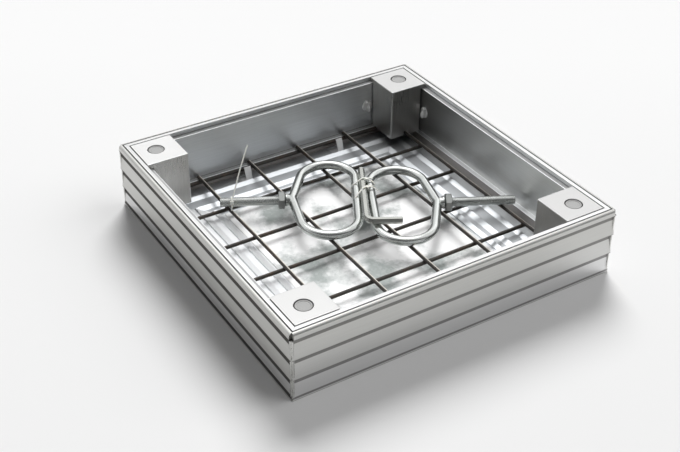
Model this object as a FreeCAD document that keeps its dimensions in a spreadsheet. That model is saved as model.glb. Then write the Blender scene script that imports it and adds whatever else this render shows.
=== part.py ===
import FreeCAD, Part
import math
import os
import re
import Sketcher

# Recessed paving cover: a ribbed frame that stays in the ground, and a tray that is
# filled with paving and lifted out with two handles. All sizes are in millimetres.
# X runs along the front side, Y towards the back, Z up; the origin is at the centre of the base.

V = FreeCAD.Vector
Z_AXIS = V(0, 0, 1)

DRIVING_SIZES = [
    # Frame in the ground
    ("outer_side", 440.0), ("frame_height", 90.0), ("seat_width", 20.0),
    ("frame_wall", 4.25), ("seat_thickness", 2.0), ("cut_past", 1.0),
    ("bead_height", 8.5), ("bead_round", 4.4),
    ("lip_pitch", 26.75), ("lip_relief", 2.0), ("lip_edge", 1.2), ("lip_under", 0.8),
    ("lip_bevel", 22.0),
    ("weld_notch", 3.6), ("weld_set", 0.8), ("weld_cut", 1.6),
    ("gasket_thickness", 2.0), ("gasket_width", 13.5), ("gasket_margin", 0.5),
    # Tray rails
    ("tray_gap", 1.5), ("rim_width", 5.05), ("rim_drop", 6.0), ("ledge_width", 6.7),
    ("foot_width", 6.5), ("foot_rise", 11.5), ("floor_thickness", 2.0), ("skin", 2.0),
    ("flat_outer", 19.5), ("ridge_outer", 8.0), ("flat_middle", 17.0), ("ridge_middle", 9.0),
    ("flat_inner", 8.0), ("ridge_inner", 8.0), ("ridge_height", 0.8),
    ("rebate_width", 12.0), ("rebate_drop", 1.0), ("sheet_gap", 4.0), ("sheet_thickness", 1.0),
    # Anchor tongues punched up from the front and back floors
    ("tongue_first", -57.0), ("tongue_pitch", 143.5), ("tongue_height", 17.5),
    ("tongue_width", 9.5), ("tongue_thickness", 1.5), ("tongue_clear", 0.5),
    ("slot_length", 20.0), ("slot_width", 14.5), ("slot_shift", 3.0),
    # Corner boxes, caps and lifting bushes
    ("plate_side", 55.5), ("plate_gap", 0.2), ("box_sheet", 2.0),
    ("box_wall_gap", 2.5), ("bar_pass", 1.2),
    ("cap_edge", 25.4), ("cap_bore", 22.1), ("cap_gap", 0.3), ("cap_recess", 0.5),
    ("cap_thickness", 2.8), ("cap_rim", 1.6), ("cap_dish", 0.6),
    ("bush_outer", 20.0), ("bush_length", 26.0), ("bush_chamfer", 1.0), ("thread_gap", 0.1),
    # Locking bolts, lugs and box screws
    ("bolt_size", 10.0), ("bolt_head", 16.0), ("bolt_head_height", 9.6), ("bolt_chamfer", 1.0),
    ("socket_across", 8.0), ("socket_depth", 5.0),
    ("washer_outer", 20.0), ("washer_thickness", 1.6), ("bolt_gap", 0.4),
    ("lug_side", 28.0), ("lug_thickness", 3.7), ("lug_cut", 6.0),
    ("screw_size", 4.0), ("screw_gap", 0.2), ("screw_head", 9.0), ("screw_head_height", 3.0),
    ("screw_round", 0.6),
    ("screw_reach", 3.5), ("screw_washer", 16.0), ("screw_washer_thickness", 1.2),
    ("screw_beside", 8.5), ("screw_depth", 40.0),
    # Reinforcing mesh
    ("bar_size", 4.8), ("bar_pitch", 75.0), ("mesh_right_gap", 23.9), ("mesh_front_gap", 21.0),
    ("mesh_far_gap", 6.0), ("bar_end_gap", 2.0), ("cross_left_gap", 7.0), ("cross_right_gap", 19.0),
    ("bolt_clear", 1.1),
    # Lifting handles and key
    ("rod_size", 12.0), ("ring_half_width", 81.5), ("ring_depth", 95.6), ("neck_depth", 13.5),
    ("neck_weld", 14.4), ("neck_weld_end", 9.0),
    ("ring_lean", 11.5), ("neck_round", 20.0), ("shoulder_round", 37.0), ("far_round", 35.0),
    ("left_skew", 2.2), ("skew_pivot", 54.0),
    ("nut_across", 21.5), ("nut_length", 8.5), ("nut_face", 20.4), ("shank_size", 12.0),
    ("shank_chamfer", 1.0),
    ("left_shank", 78.0), ("right_shank", 85.6),
    ("handle_turn", -27.2), ("right_nut_in", 61.2), ("right_nut_up", 150.9),
    ("nuts_apart_x", 178.3), ("nuts_apart_y", 113.5), ("rest_gap", 0.05),
    ("key_across", 8.0), ("key_length", 129.0), ("key_arm", 44.0), ("key_round", 10.0),
    ("key_gap", 0.2), ("key_drop", 6.2), ("key_start", 49.2), ("key_aside", 3.3), ("key_cross", 85.0),
    # Plastic ties
    ("tie_width", 2.6), ("tie_thickness", 1.1), ("tie_gap", 0.3), ("tie_round", 5.4),
    ("tie_head_width", 4.6), ("tie_head_length", 5.0), ("tie_head_height", 3.4), ("tie_head_round", 0.6),
    ("tie_lock_back", 8.0), ("tie_tail_x", 10.8), ("tie_tail_y", 12.6), ("tie_tail_z", 2.0),
    ("upper_tie_left", 25.5), ("upper_tie_right", 20.5), ("lower_tie_left", 4.2), ("lower_tie_right", 10.5),
    ("upper_tie_slack", 8.2), ("lower_tie_slack", 1.0),
    ("long_tie_back", 58.0), ("long_tie_front", 8.2), ("long_tie_rise", 4.2),
    ("long_tail_x", 45.5), ("long_tail_y", 51.6), ("long_tail_z", 43.0), ("hook_gap", 1.1),
]


def make_sheet(doc):
    """Write the driving dimensions into a spreadsheet, one alias a row."""
    sheet = doc.addObject("Spreadsheet::Sheet", "Sizes")
    for row, (alias, value) in enumerate(DRIVING_SIZES, start=1):
        sheet.set(f"A{row}", alias)
        sheet.set(f"B{row}", str(value))
        sheet.setAlias(f"B{row}", alias)
    doc.recompute()
    return sheet


doc = FreeCAD.newDocument("paving_cover")
sheet = make_sheet(doc)


def size(alias):
    """Give one driving dimension as a number."""
    return float(sheet.get(alias))


def bound(expression):
    """Turn a plain expression of aliases into one that reads the sheet."""
    return re.sub(r"[a-z][a-z_]*(?![a-z_(])", lambda word: "Sizes." + word.group(0), expression)


# Places worked out from the driving dimensions, as expressions.
# Distances named HALF or FACE are measured outwards from the centre, levels upwards from the base.
HALF = "(outer_side / 2)"
PAST = f"({HALF} + cut_past)"
FRAME_FACE = f"({HALF} - frame_wall)"
CLEAR_HALF = f"({HALF} - seat_width)"
FLOOR_BASE = "(seat_thickness + gasket_thickness)"
FLOOR_TOP = f"({FLOOR_BASE} + floor_thickness)"
TRAY_HALF = f"({FRAME_FACE} - tray_gap)"
RIM_FACE = f"({TRAY_HALF} - rim_width)"
WALL_FACE = f"({RIM_FACE} - ledge_width)"
FOOT_FACE = f"({WALL_FACE} - foot_width)"
LEDGE_LEVEL = "(frame_height - rim_drop)"
FOOT_LEVEL = f"({FLOOR_TOP} + foot_rise)"
RIDGE_TOP = f"({FLOOR_TOP} + ridge_height)"
RIDGE_A = f"({FOOT_FACE} - flat_outer)"
RIDGE_B = f"({RIDGE_A} - ridge_outer - flat_middle)"
RIDGE_C = f"({RIDGE_B} - ridge_middle - flat_inner)"
FLOOR_EDGE = f"({RIDGE_C} - ridge_inner)"
SHEET_HALF = f"({FLOOR_EDGE} - sheet_gap)"
REBATE_LEVEL = f"({FLOOR_TOP} - rebate_drop)"
PLATE_OUTER = f"({RIM_FACE} - plate_gap)"
PLATE_INNER = f"({PLATE_OUTER} - plate_side)"
CAP_CENTRE = f"({PLATE_OUTER} - cap_edge)"
CAP_SEAT = "(frame_height - cap_recess - cap_thickness)"
SCREW_LEVEL = "(frame_height - screw_depth)"
SCREW_PLACE = f"({PLATE_INNER} - screw_beside)"
HIGH_BARS = f"({FOOT_LEVEL} + bar_size / 2)"
LOW_BARS = f"({HIGH_BARS} - bar_size)"
BAR_REACH = f"({WALL_FACE} - bar_end_gap)"
MESH_RIGHT = f"({WALL_FACE} - mesh_right_gap)"
MESH_FRONT = f"(mesh_front_gap - {WALL_FACE})"
EDGE_BAR_END = f"({CAP_CENTRE} - bolt_head / 2 - bolt_clear)"

# Levels and places of the mesh and of the loose pieces on it, as numbers.
FLOOR_TOP_Z = size("seat_thickness") + size("gasket_thickness") + size("floor_thickness")
MESH_TOP_Z = FLOOR_TOP_Z + size("foot_rise") + size("bar_size")
ROD = size("rod_size") / 2
ROD_Z = MESH_TOP_Z + ROD + size("rest_gap")
WALL = size("outer_side") / 2 - sum(size(part) for part in ("frame_wall", "tray_gap", "rim_width", "ledge_width"))
RIGHT_BAR_X = WALL - size("mesh_right_gap")
FRONT_BAR_Y = size("mesh_front_gap") - WALL
HOOK_BAR = 4
TIE_BAR = 3

parts = []


def keep(obj, label, placement=None):
    """Name a finished sub-part and put it in the list that is written out."""
    obj.Label = label
    if placement is not None:
        obj.Placement = placement
    parts.append(obj)
    return obj


def new_body(name):
    return doc.addObject("PartDesign::Body", name)


def new_sketch(body, name, plane, level=None):
    """Add a sketch on one of the body's own origin planes, raised to a level if one is given."""
    sketch = body.newObject("Sketcher::SketchObject", name)
    origin_plane = next(f for f in body.Origin.OriginFeatures if f.Role == plane)
    sketch.AttachmentSupport = [(origin_plane, "")]
    sketch.MapMode = "FlatFace"
    if level is not None:
        sketch.setExpression("AttachmentOffset.Base.z", bound(level))
    return sketch


def tie_point(sketch, geometry, point, across, up):
    """Bind one sketch point to its two coordinates."""
    for kind, expression in (("DistanceX", across), ("DistanceY", up)):
        index = sketch.addConstraint(Sketcher.Constraint(kind, -1, 1, geometry, point, 1.0))
        sketch.setExpression(f"Constraints[{index}]", bound(expression))


def add_outline(sketch, corners):
    """Draw a closed outline of straight lines through the given corners."""
    first = sketch.GeometryCount
    count = len(corners)
    starts = [V(i + 1, (i + 1) ** 2, 0) for i in range(count)]
    for i in range(count):
        sketch.addGeometry(Part.LineSegment(starts[i], starts[(i + 1) % count]))
    for i in range(count):
        following = first + (i + 1) % count
        sketch.addConstraint(Sketcher.Constraint("Coincident", first + i, 2, following, 1))
    for i, (across, up) in enumerate(corners):
        tie_point(sketch, first + i, 1, across, up)


def add_circle(sketch, across, up, radius):
    """Draw a circle bound to its centre and radius."""
    index = sketch.addGeometry(Part.Circle(V(1, 1, 0), Z_AXIS, 1.0))
    tie_point(sketch, index, 3, across, up)
    constraint = sketch.addConstraint(Sketcher.Constraint("Radius", index, 1.0))
    sketch.setExpression(f"Constraints[{constraint}]", bound(radius))


def pad(body, name, sketch, length, both_ways=False):
    feature = body.newObject("PartDesign::Pad", name)
    feature.Profile = sketch
    feature.setExpression("Length", bound(length))
    feature.Midplane = both_ways
    return feature


def pocket(body, name, sketch, length):
    """Cut the same distance both ways from the sketch."""
    feature = body.newObject("PartDesign::Pocket", name)
    feature.Profile = sketch
    feature.Midplane = True
    feature.setExpression("Length", bound(length))
    return feature


def cut_upwards(feature):
    """Make a cut run up from its sketch instead of both ways."""
    feature.Midplane = False
    feature.Reversed = True


def revolved(name, outline):
    """Turn an outline of radius and height once round its body's own Z axis."""
    body = new_body(name)
    sketch = new_sketch(body, name + "_section", "XZ_Plane")
    add_outline(sketch, outline)
    turn = body.newObject("PartDesign::Revolution", name + "_turn")
    turn.Profile = sketch
    turn.ReferenceAxis = (sketch, ["V_Axis"])
    turn.Angle = 360.0
    return body


def quarter_turn(step):
    return FreeCAD.Placement(V(0, 0, 0), FreeCAD.Rotation(Z_AXIS, 90.0 * step))


SIDES = ("back", "left", "front", "right")
CORNERS = ("back_right", "back_left", "front_left", "front_right")
CORNER_SIGNS = ((1, 1), (-1, 1), (-1, -1), (1, -1))


def mitre(body, name, depth):
    """Cut both ends of a back rail at 45 degrees."""
    sketch = new_sketch(body, name, "XY_Plane")
    inner = f"({depth} - cut_past)"
    for sign in ("", "-"):
        add_outline(sketch, [(f"{sign}{inner}", inner), (f"{sign}{PAST}", inner), (f"{sign}{PAST}", PAST)])
    pocket(body, name + "_cut", sketch, "frame_height * 3")


def frame_section():
    """Outline of the frame rail: seat, ribbed outer face and top bead."""
    corners = [(CLEAR_HALF, "0"), (HALF, "0"), (HALF, "lip_edge")]
    recess = f"({HALF} - lip_relief)"
    for lip in (2, 1, 0):
        level = f"(frame_height - bead_height - {lip} * lip_pitch)"
        below = "0" if lip == 2 else f"(frame_height - bead_height - {lip + 1} * lip_pitch)"
        corners.append((recess, f"{below} + lip_edge + lip_bevel"))
        corners.append((recess, f"{level} - lip_under"))
        corners.append((HALF, level))
        if lip:
            corners.append((HALF, f"{level} + lip_edge"))
    corners += [(HALF, "frame_height - bead_round / 2"),
                (f"{HALF} - bead_round / 2", "frame_height"),
                (FRAME_FACE, "frame_height"),
                (FRAME_FACE, "seat_thickness"),
                (CLEAR_HALF, "seat_thickness")]
    return corners


def frame_rail(side):
    """One mitred rail of the frame, with a notch at each end for the corner weld."""
    name = f"frame_rail_{side}"
    body = new_body(name)
    sketch = new_sketch(body, name + "_section", "YZ_Plane")
    add_outline(sketch, frame_section())
    pad(body, name + "_length", sketch, "outer_side", both_ways=True)
    mitre(body, name + "_mitre", CLEAR_HALF)
    notch = new_sketch(body, name + "_notch", "XY_Plane")
    inner = f"({HALF} - weld_notch)"
    for sign in ("", "-"):
        add_outline(notch, [(f"{sign}{inner}", inner), (f"{sign}{PAST}", inner),
                            (f"{sign}{PAST}", PAST), (f"{sign}{inner}", PAST)])
    pocket(body, name + "_notch_cut", notch, "frame_height * 3")
    return keep(body, name, quarter_turn(SIDES.index(side)))


def corner_welds():
    """Four upright weld beads, one down each outside corner below the top bead."""
    beads = []
    inner = f"({HALF} - weld_notch)"
    outer = f"({HALF} - weld_set)"
    for corner, step in zip(CORNERS, range(4)):
        body = new_body(f"weld_{corner}")
        sketch = new_sketch(body, f"weld_{corner}_section", "XY_Plane")
        add_outline(sketch, [(inner, inner), (outer, inner), (outer, f"{outer} - weld_cut"),
                             (f"{outer} - weld_cut", outer), (inner, outer)])
        pad(body, f"weld_{corner}_length", sketch, "frame_height - bead_height")
        body.Placement = quarter_turn(step)
        beads.append(body)
    group = doc.addObject("Part::Compound", "frame_corner_welds")
    group.Links = beads
    return keep(group, "frame_corner_welds")


def corner_lug(corner, step):
    """Tapped plate welded in the corner of the seat, which takes the locking bolt."""
    name = f"frame_lug_{corner}"
    body = new_body(name)
    sketch = new_sketch(body, name + "_outline", "XY_Plane")
    edge = f"({CLEAR_HALF} - lug_side)"
    add_outline(sketch, [(edge, CLEAR_HALF), (CLEAR_HALF, CLEAR_HALF), (CLEAR_HALF, edge),
                         (f"{edge} + lug_cut", edge), (edge, f"{edge} + lug_cut")])
    add_circle(sketch, CAP_CENTRE, CAP_CENTRE, "bolt_size / 2 + thread_gap")
    pad(body, name + "_plate", sketch, "lug_thickness")
    return keep(body, name, quarter_turn(step))


def square_corners(half):
    return [(f"-{half}", f"-{half}"), (half, f"-{half}"), (half, half), (f"-{half}", half)]


def gasket():
    """Rubber ring on the frame's seat, under the tray."""
    body = new_body("frame_gasket")
    sketch = new_sketch(body, "gasket_outline", "XY_Plane", "seat_thickness")
    inner = f"({CLEAR_HALF} + gasket_margin)"
    add_outline(sketch, square_corners(inner))
    add_outline(sketch, square_corners(f"({inner} + gasket_width)"))
    pad(body, "gasket_height", sketch, "gasket_thickness")
    return keep(body, "frame_gasket")


def tray_section():
    """Outline of the tray rail: rim, ledge, wall, foot and ridged floor."""
    corners = [(TRAY_HALF, FLOOR_BASE), (TRAY_HALF, "frame_height"), (RIM_FACE, "frame_height"),
               (RIM_FACE, LEDGE_LEVEL), (WALL_FACE, LEDGE_LEVEL), (WALL_FACE, FOOT_LEVEL),
               (FOOT_FACE, FOOT_LEVEL), (FOOT_FACE, FLOOR_TOP)]
    for edge, width in ((RIDGE_A, "ridge_outer"), (RIDGE_B, "ridge_middle"), (RIDGE_C, "ridge_inner")):
        corners += [(edge, FLOOR_TOP), (edge, RIDGE_TOP), (f"{edge} - {width}", RIDGE_TOP)]
        if width != "ridge_inner":
            corners.append((f"{edge} - {width}", FLOOR_TOP))
    corners += [(FLOOR_EDGE, REBATE_LEVEL), (f"{FLOOR_EDGE} - rebate_width", REBATE_LEVEL),
                (f"{FLOOR_EDGE} - rebate_width", FLOOR_BASE)]
    return corners


def chamber_section():
    """The hollow inside the wall of the tray rail."""
    inner = f"({WALL_FACE} + skin)"
    outer = f"({TRAY_HALF} - skin)"
    low = f"({FLOOR_TOP} + skin)"
    high = f"({LEDGE_LEVEL} - skin)"
    return [(inner, low), (outer, low), (outer, high), (inner, high)]


def punch_tongues(body, name):
    """Punch two slots in the floor and stand the tongue from each one upright."""
    slots = new_sketch(body, name + "_slots", "XY_Plane")
    near = f"({RIDGE_A} + tongue_clear + tongue_thickness)"
    for count in (0, 1):
        middle = f"(tongue_first + {count} * tongue_pitch - slot_shift)"
        left, right = f"{middle} - slot_length / 2", f"{middle} + slot_length / 2"
        add_outline(slots, [(left, near), (right, near),
                            (right, f"{near} + slot_width"), (left, f"{near} + slot_width")])
    pocket(body, name + "_slot_cut", slots, "frame_height")
    tongues = new_sketch(body, name + "_tongues", "XY_Plane", FLOOR_BASE)
    for count in (0, 1):
        middle = f"(tongue_first + {count} * tongue_pitch)"
        left, right = f"{middle} - tongue_width / 2", f"{middle} + tongue_width / 2"
        add_outline(tongues, [(left, f"{near} - tongue_thickness"), (right, f"{near} - tongue_thickness"),
                              (right, near), (left, near)])
    pad(body, name + "_tongue_rise", tongues, "floor_thickness + tongue_height")


def tray_rail(side):
    """One mitred rail of the tray, with holes for the locking bolts and the box screws."""
    name = f"tray_rail_{side}"
    body = new_body(name)
    sketch = new_sketch(body, name + "_section", "YZ_Plane")
    add_outline(sketch, tray_section())
    add_outline(sketch, chamber_section())
    pad(body, name + "_length", sketch, "outer_side", both_ways=True)
    mitre(body, name + "_mitre", f"({FLOOR_EDGE} - rebate_width)")
    bolts = new_sketch(body, name + "_bolt_holes", "XY_Plane")
    screws = new_sketch(body, name + "_screw_holes", "XZ_Plane")
    for sign in ("", "-"):
        add_circle(bolts, f"{sign}{CAP_CENTRE}", CAP_CENTRE, "bolt_size / 2 + bolt_gap")
        add_circle(screws, f"{sign}{SCREW_PLACE}", SCREW_LEVEL, "screw_size / 2 + screw_gap")
    pocket(body, name + "_bolt_cut", bolts, "frame_height / 2")
    pocket(body, name + "_screw_cut", screws, f"2 * ({WALL_FACE} + skin)")
    if side in ("back", "front"):
        punch_tongues(body, name)
    return keep(body, name, quarter_turn(SIDES.index(side)))


def floor_sheet():
    """Galvanised sheet that closes the middle of the tray."""
    body = new_body("tray_floor_sheet")
    sketch = new_sketch(body, "floor_sheet_outline", "XY_Plane", REBATE_LEVEL)
    add_outline(sketch, square_corners(SHEET_HALF))
    pad(body, "floor_sheet_height", sketch, "sheet_thickness")
    return keep(body, "tray_floor_sheet")


def corner_box(corner, step):
    """Top plate flush with the rim, and two folded sides that stand on the wall's foot."""
    name = f"corner_box_{corner}"
    body = new_body(name)
    plate = new_sketch(body, name + "_plate", "XY_Plane", LEDGE_LEVEL)
    add_outline(plate, [(PLATE_INNER, PLATE_INNER), (PLATE_OUTER, PLATE_INNER),
                        (PLATE_OUTER, PLATE_OUTER), (PLATE_INNER, PLATE_OUTER)])
    pad(body, name + "_plate_height", plate, "rim_drop")
    inside = f"({PLATE_INNER} + box_sheet)"
    reach = f"({WALL_FACE} - box_wall_gap)"
    sides = new_sketch(body, name + "_sides", "XY_Plane", FOOT_LEVEL)
    add_outline(sides, [(PLATE_INNER, PLATE_INNER), (reach, PLATE_INNER), (reach, inside),
                        (inside, inside), (inside, reach), (PLATE_INNER, reach)])
    pad(body, name + "_sides_height", sides, f"{LEDGE_LEVEL} - {FOOT_LEVEL}")
    bore = new_sketch(body, name + "_bore", "XY_Plane", CAP_SEAT)
    add_circle(bore, CAP_CENTRE, CAP_CENTRE, "cap_bore / 2")
    cut_upwards(pocket(body, name + "_bore_cut", bore, "2 * (cap_recess + cap_thickness)"))
    through = new_sketch(body, name + "_through", "XY_Plane", LEDGE_LEVEL)
    add_circle(through, CAP_CENTRE, CAP_CENTRE, "bolt_size / 2 + thread_gap")
    pocket(body, name + "_through_cut", through, "4 * rim_drop")
    box_notches(body, name, step)
    return keep(body, name, quarter_turn(step))


def box_notches(body, name, step):
    """Cut the foot of the box's sides away round each bar of the mesh that passes them."""
    half = f"(bar_size / 2 + bar_pass)"
    reach = size("bar_size") / 2 + size("bar_pass")
    inner = WALL + size("ledge_width") - size("plate_gap") - size("plate_side")
    for along_x in (False, True):
        sign = CORNER_SIGNS[step][int(along_x)]
        top = LOW_BARS if along_x else HIGH_BARS
        for count, (place, number) in enumerate(bar_lines(along_x)):
            if sign * number + reach < inner:
                continue
            near, far = f"({sign} * {place} - {half})", f"({sign} * {place} + {half})"
            outline = [(near, f"{PLATE_INNER} - cut_past"), (far, f"{PLATE_INNER} - cut_past"),
                       (far, WALL_FACE), (near, WALL_FACE)]
            if along_x == (step % 2 == 0):
                outline = [(up, across) for across, up in outline]
            label = f"{name}_notch_{'x' if along_x else 'y'}_{count}"
            sketch = new_sketch(body, label, "XY_Plane", FOOT_LEVEL)
            add_outline(sketch, outline)
            pocket(body, label + "_cut", sketch, f"2 * ({top} + {half} - {FOOT_LEVEL})")


def at_corner(body, step, centre):
    """Stand a turned body on the axis of one corner."""
    for axis, sign in zip("xy", CORNER_SIGNS[step]):
        body.setExpression(f"Placement.Base.{axis}", bound(f"{sign} * {centre}"))
    return body


def corner_cap(corner, step):
    """Dished plastic plug over the lifting thread."""
    radius = "(cap_bore / 2 - cap_gap)"
    top = "(frame_height - cap_recess)"
    body = revolved(f"corner_cap_{corner}", [
        ("0", CAP_SEAT), (radius, CAP_SEAT), (radius, f"{top} - cap_dish / 2"),
        (f"{radius} - cap_dish / 2", top), (f"{radius} - cap_rim", top),
        (f"{radius} - cap_rim - cap_dish", f"{top} - cap_dish"), ("0", f"{top} - cap_dish")])
    return keep(at_corner(body, step, CAP_CENTRE), f"corner_cap_{corner}")


def lifting_bush(corner, step):
    """Threaded bush that hangs under the corner plate."""
    bore = "(bolt_size / 2 + thread_gap)"
    low = f"({LEDGE_LEVEL} - bush_length)"
    body = revolved(f"lifting_bush_{corner}", [
        (bore, low), ("bush_outer / 2 - bush_chamfer", low), ("bush_outer / 2", f"{low} + bush_chamfer"),
        ("bush_outer / 2", LEDGE_LEVEL), (bore, LEDGE_LEVEL)])
    return keep(at_corner(body, step, CAP_CENTRE), f"lifting_bush_{corner}")


def locking_bolt(corner, step):
    """Socket-head bolt that holds the tray down in the frame."""
    seat = f"({FLOOR_TOP} + washer_thickness)"
    body = revolved(f"locking_bolt_{corner}", [
        ("0", "0"), ("bolt_size / 2 - bolt_chamfer", "0"), ("bolt_size / 2", "bolt_chamfer"),
        ("bolt_size / 2", seat), ("bolt_head / 2", seat),
        ("bolt_head / 2", f"{seat} + bolt_head_height - bolt_chamfer"),
        ("bolt_head / 2 - bolt_chamfer", f"{seat} + bolt_head_height"),
        ("0", f"{seat} + bolt_head_height")])
    socket = new_sketch(body, f"bolt_socket_{corner}", "XY_Plane",
                        f"{seat} + bolt_head_height - socket_depth")
    half, quarter, point = "socket_across / 2", "socket_across / sqrt(12)", "socket_across / sqrt(3)"
    add_outline(socket, [(quarter, f"-{half}"), (point, "0"), (quarter, half),
                         (f"-{quarter}", half), (f"-{point}", "0"), (f"-{quarter}", f"-{half}")])
    cut_upwards(pocket(body, f"bolt_socket_cut_{corner}", socket, "2 * socket_depth"))
    return keep(at_corner(body, step, CAP_CENTRE), f"locking_bolt_{corner}")


def ring_outline(bore, outer, low, height):
    return [(bore, low), (outer, low), (outer, f"{low} + {height}"), (bore, f"{low} + {height}")]


def bolt_washers():
    """One flat washer under each locking bolt."""
    rings = []
    for corner, step in zip(CORNERS, range(4)):
        body = revolved(f"washer_{corner}", ring_outline(
            "(bolt_size / 2 + bolt_gap)", "washer_outer / 2", FLOOR_TOP, "washer_thickness"))
        rings.append(at_corner(body, step, CAP_CENTRE))
    group = doc.addObject("Part::Compound", "bolt_washers")
    group.Links = rings
    return keep(group, "bolt_washers")


def place_box_screw(body, corner, swap):
    """Turn a fixing so that its axis runs out into the wall beside a corner box."""
    sign_x, sign_y = CORNER_SIGNS[corner]
    x, y = (WALL_FACE, SCREW_PLACE) if swap else (SCREW_PLACE, WALL_FACE)
    body.setExpression("Placement.Base.x", bound(f"{sign_x} * {x}"))
    body.setExpression("Placement.Base.y", bound(f"{sign_y} * {y}"))
    body.setExpression("Placement.Base.z", bound(SCREW_LEVEL))
    outward = V(sign_x, 0, 0) if swap else V(0, sign_y, 0)
    body.Placement.Rotation = FreeCAD.Rotation(Z_AXIS, outward)
    return body


def box_fixings(label, outline):
    """The same fixing on both walls beside each corner box."""
    pieces = []
    for corner in range(4):
        for swap in (False, True):
            body = revolved(f"{label}_{corner}_{int(swap)}", outline)
            pieces.append(place_box_screw(body, corner, swap))
    group = doc.addObject("Part::Compound", label)
    group.Links = pieces
    return keep(group, label)


def box_screws():
    """Domed screws: the head is on the inner side of the washer, the shank runs into the wall."""
    shank = "(screw_size / 2)"
    under = "(0 - screw_washer_thickness)"
    return box_fixings("box_screws", [
        ("0", "screw_reach"), ("0", f"{under} - screw_head_height"),
        ("screw_head / 4", f"{under} - screw_head_height"),
        ("screw_head / 2 - screw_round", f"{under} - screw_head_height / 2"),
        ("screw_head / 2", under), (shank, under), (shank, "screw_reach")])


def box_washers():
    return box_fixings("box_screw_washers", ring_outline(
        "(screw_size / 2 + screw_gap)", "screw_washer / 2", "(0 - screw_washer_thickness)",
        "screw_washer_thickness"))


def bars_after(first_gap):
    """How many pitches fit across the tray after the first bar."""
    return int((2 * WALL - first_gap - size("mesh_far_gap")) // size("bar_pitch"))


def bar_lines(along_x):
    """Where the mesh's bars of one direction lie across it: an expression and a number for each."""
    if along_x:
        return [(f"({MESH_FRONT} + {k} * bar_pitch)", FRONT_BAR_Y + k * size("bar_pitch"))
                for k in range(bars_after(size("mesh_front_gap")) + 1)]
    return [(f"({MESH_RIGHT} - {k} * bar_pitch)", RIGHT_BAR_X - k * size("bar_pitch"))
            for k in range(bars_after(size("mesh_right_gap")), -1, -1)]


def mesh_bar(label, start, length, level, across, along_x):
    """One straight bar of the reinforcing mesh."""
    bar = doc.addObject("Part::Cylinder", label)
    bar.setExpression("Radius", bound("bar_size / 2"))
    bar.setExpression("Height", bound(length))
    direction = V(1, 0, 0) if along_x else V(0, 1, 0)
    bar.Placement = FreeCAD.Placement(V(0, 0, 0), FreeCAD.Rotation(Z_AXIS, direction))
    first, second = ("x", "y") if along_x else ("y", "x")
    bar.setExpression(f"Placement.Base.{first}", bound(start))
    bar.setExpression(f"Placement.Base.{second}", bound(across))
    bar.setExpression("Placement.Base.z", bound(level))
    return keep(bar, label)


def mesh():
    """Bars along Y lie on the feet of the tray's walls, and bars along X hang under them."""
    lines = bar_lines(True)
    for count, (across, _) in enumerate(lines):
        edge = count in (0, len(lines) - 1)
        low = f"(0 - {EDGE_BAR_END})" if edge else f"(cross_left_gap - {WALL_FACE})"
        high = EDGE_BAR_END if edge else f"({WALL_FACE} - cross_right_gap)"
        mesh_bar(f"mesh_bar_x_{count + 1}", low, f"{high} - {low}", LOW_BARS, across, True)
    for count, (across, _) in enumerate(bar_lines(False)):
        mesh_bar(f"mesh_bar_y_{count + 1}", f"-{BAR_REACH}", f"2 * {BAR_REACH}", HIGH_BARS, across, False)


def nut_place(side):
    """Ground plan of a handle's nut, set out from the mesh."""
    right = V(RIGHT_BAR_X - size("right_nut_in"), FRONT_BAR_Y + size("right_nut_up"), 0)
    return right if side == "right" else right + V(-size("nuts_apart_x"), size("nuts_apart_y"), 0)


def handle_placement(side):
    """Frame of a lying handle: origin at the nut, X towards the far bar of the ring."""
    turn = size("handle_turn") + (180.0 if side == "right" else 0.0)
    return FreeCAD.Placement(nut_place(side) + V(0, 0, ROD_Z), FreeCAD.Rotation(Z_AXIS, turn))


def rounded_path(corners, radii, closed=True):
    """Wire of straight runs and tangent arcs round the given corners."""
    count = len(corners)
    edges = []
    ends = []
    for i in range(count):
        if not closed and i in (0, count - 1):
            ends.append((corners[i], None, corners[i]))
            continue
        before = (corners[i - 1] - corners[i]).normalize()
        after = (corners[(i + 1) % count] - corners[i]).normalize()
        half_angle = before.getAngle(after) / 2
        reach = radii[i] / math.tan(half_angle)
        centre_line = (before + after).normalize()
        middle = corners[i] + centre_line * (radii[i] / math.sin(half_angle) - radii[i])
        ends.append((corners[i] + before * reach, middle, corners[i] + after * reach))
    for i in range(count):
        start, middle, end = ends[i]
        if middle is not None:
            edges.append(Part.Arc(start, middle, end).toShape())
        if closed or i < count - 1:
            edges.append(Part.LineSegment(end, ends[(i + 1) % count][0]).toShape())
    return Part.Wire(edges)


def hexagon(across, along):
    """Six-sided outline round the X axis, at one place along it."""
    radius = across / 2 / math.cos(math.radians(30))
    turns = [math.radians(60 * k) for k in range(7)]
    return Part.makePolygon([V(along, radius * math.cos(turn), radius * math.sin(turn)) for turn in turns])


def swept(path, section_wire):
    """Carry a section along a path of runs and tangent arcs."""
    shell = Part.BRepOffsetAPI.MakePipeShell(path)
    shell.add(section_wire)
    shell.setTransitionMode(1)
    shell.build()
    shell.makeSolid()
    return shell.shape()


def shape_part(label, shape, placement=None):
    """Keep a shape that is made from edges and faces instead of features."""
    feature = doc.addObject("Part::Feature", label)
    feature.Shape = shape
    return keep(feature, label, placement)


def ring_path():
    """Centre line of the handle's ring: a neck, two shoulders and a straight far bar."""
    lean = math.tan(math.radians(size("ring_lean")))
    neck, width, depth = size("neck_depth"), size("ring_half_width"), size("ring_depth")
    shoulder = neck + width * lean
    corners = [V(depth, -width, 0), V(depth, width, 0), V(shoulder, width, 0),
               V(neck, 0, 0), V(shoulder, -width, 0)]
    radii = [size("far_round"), size("far_round"), size("shoulder_round"),
             size("neck_round"), size("shoulder_round")]
    return rounded_path(corners, radii)


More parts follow.
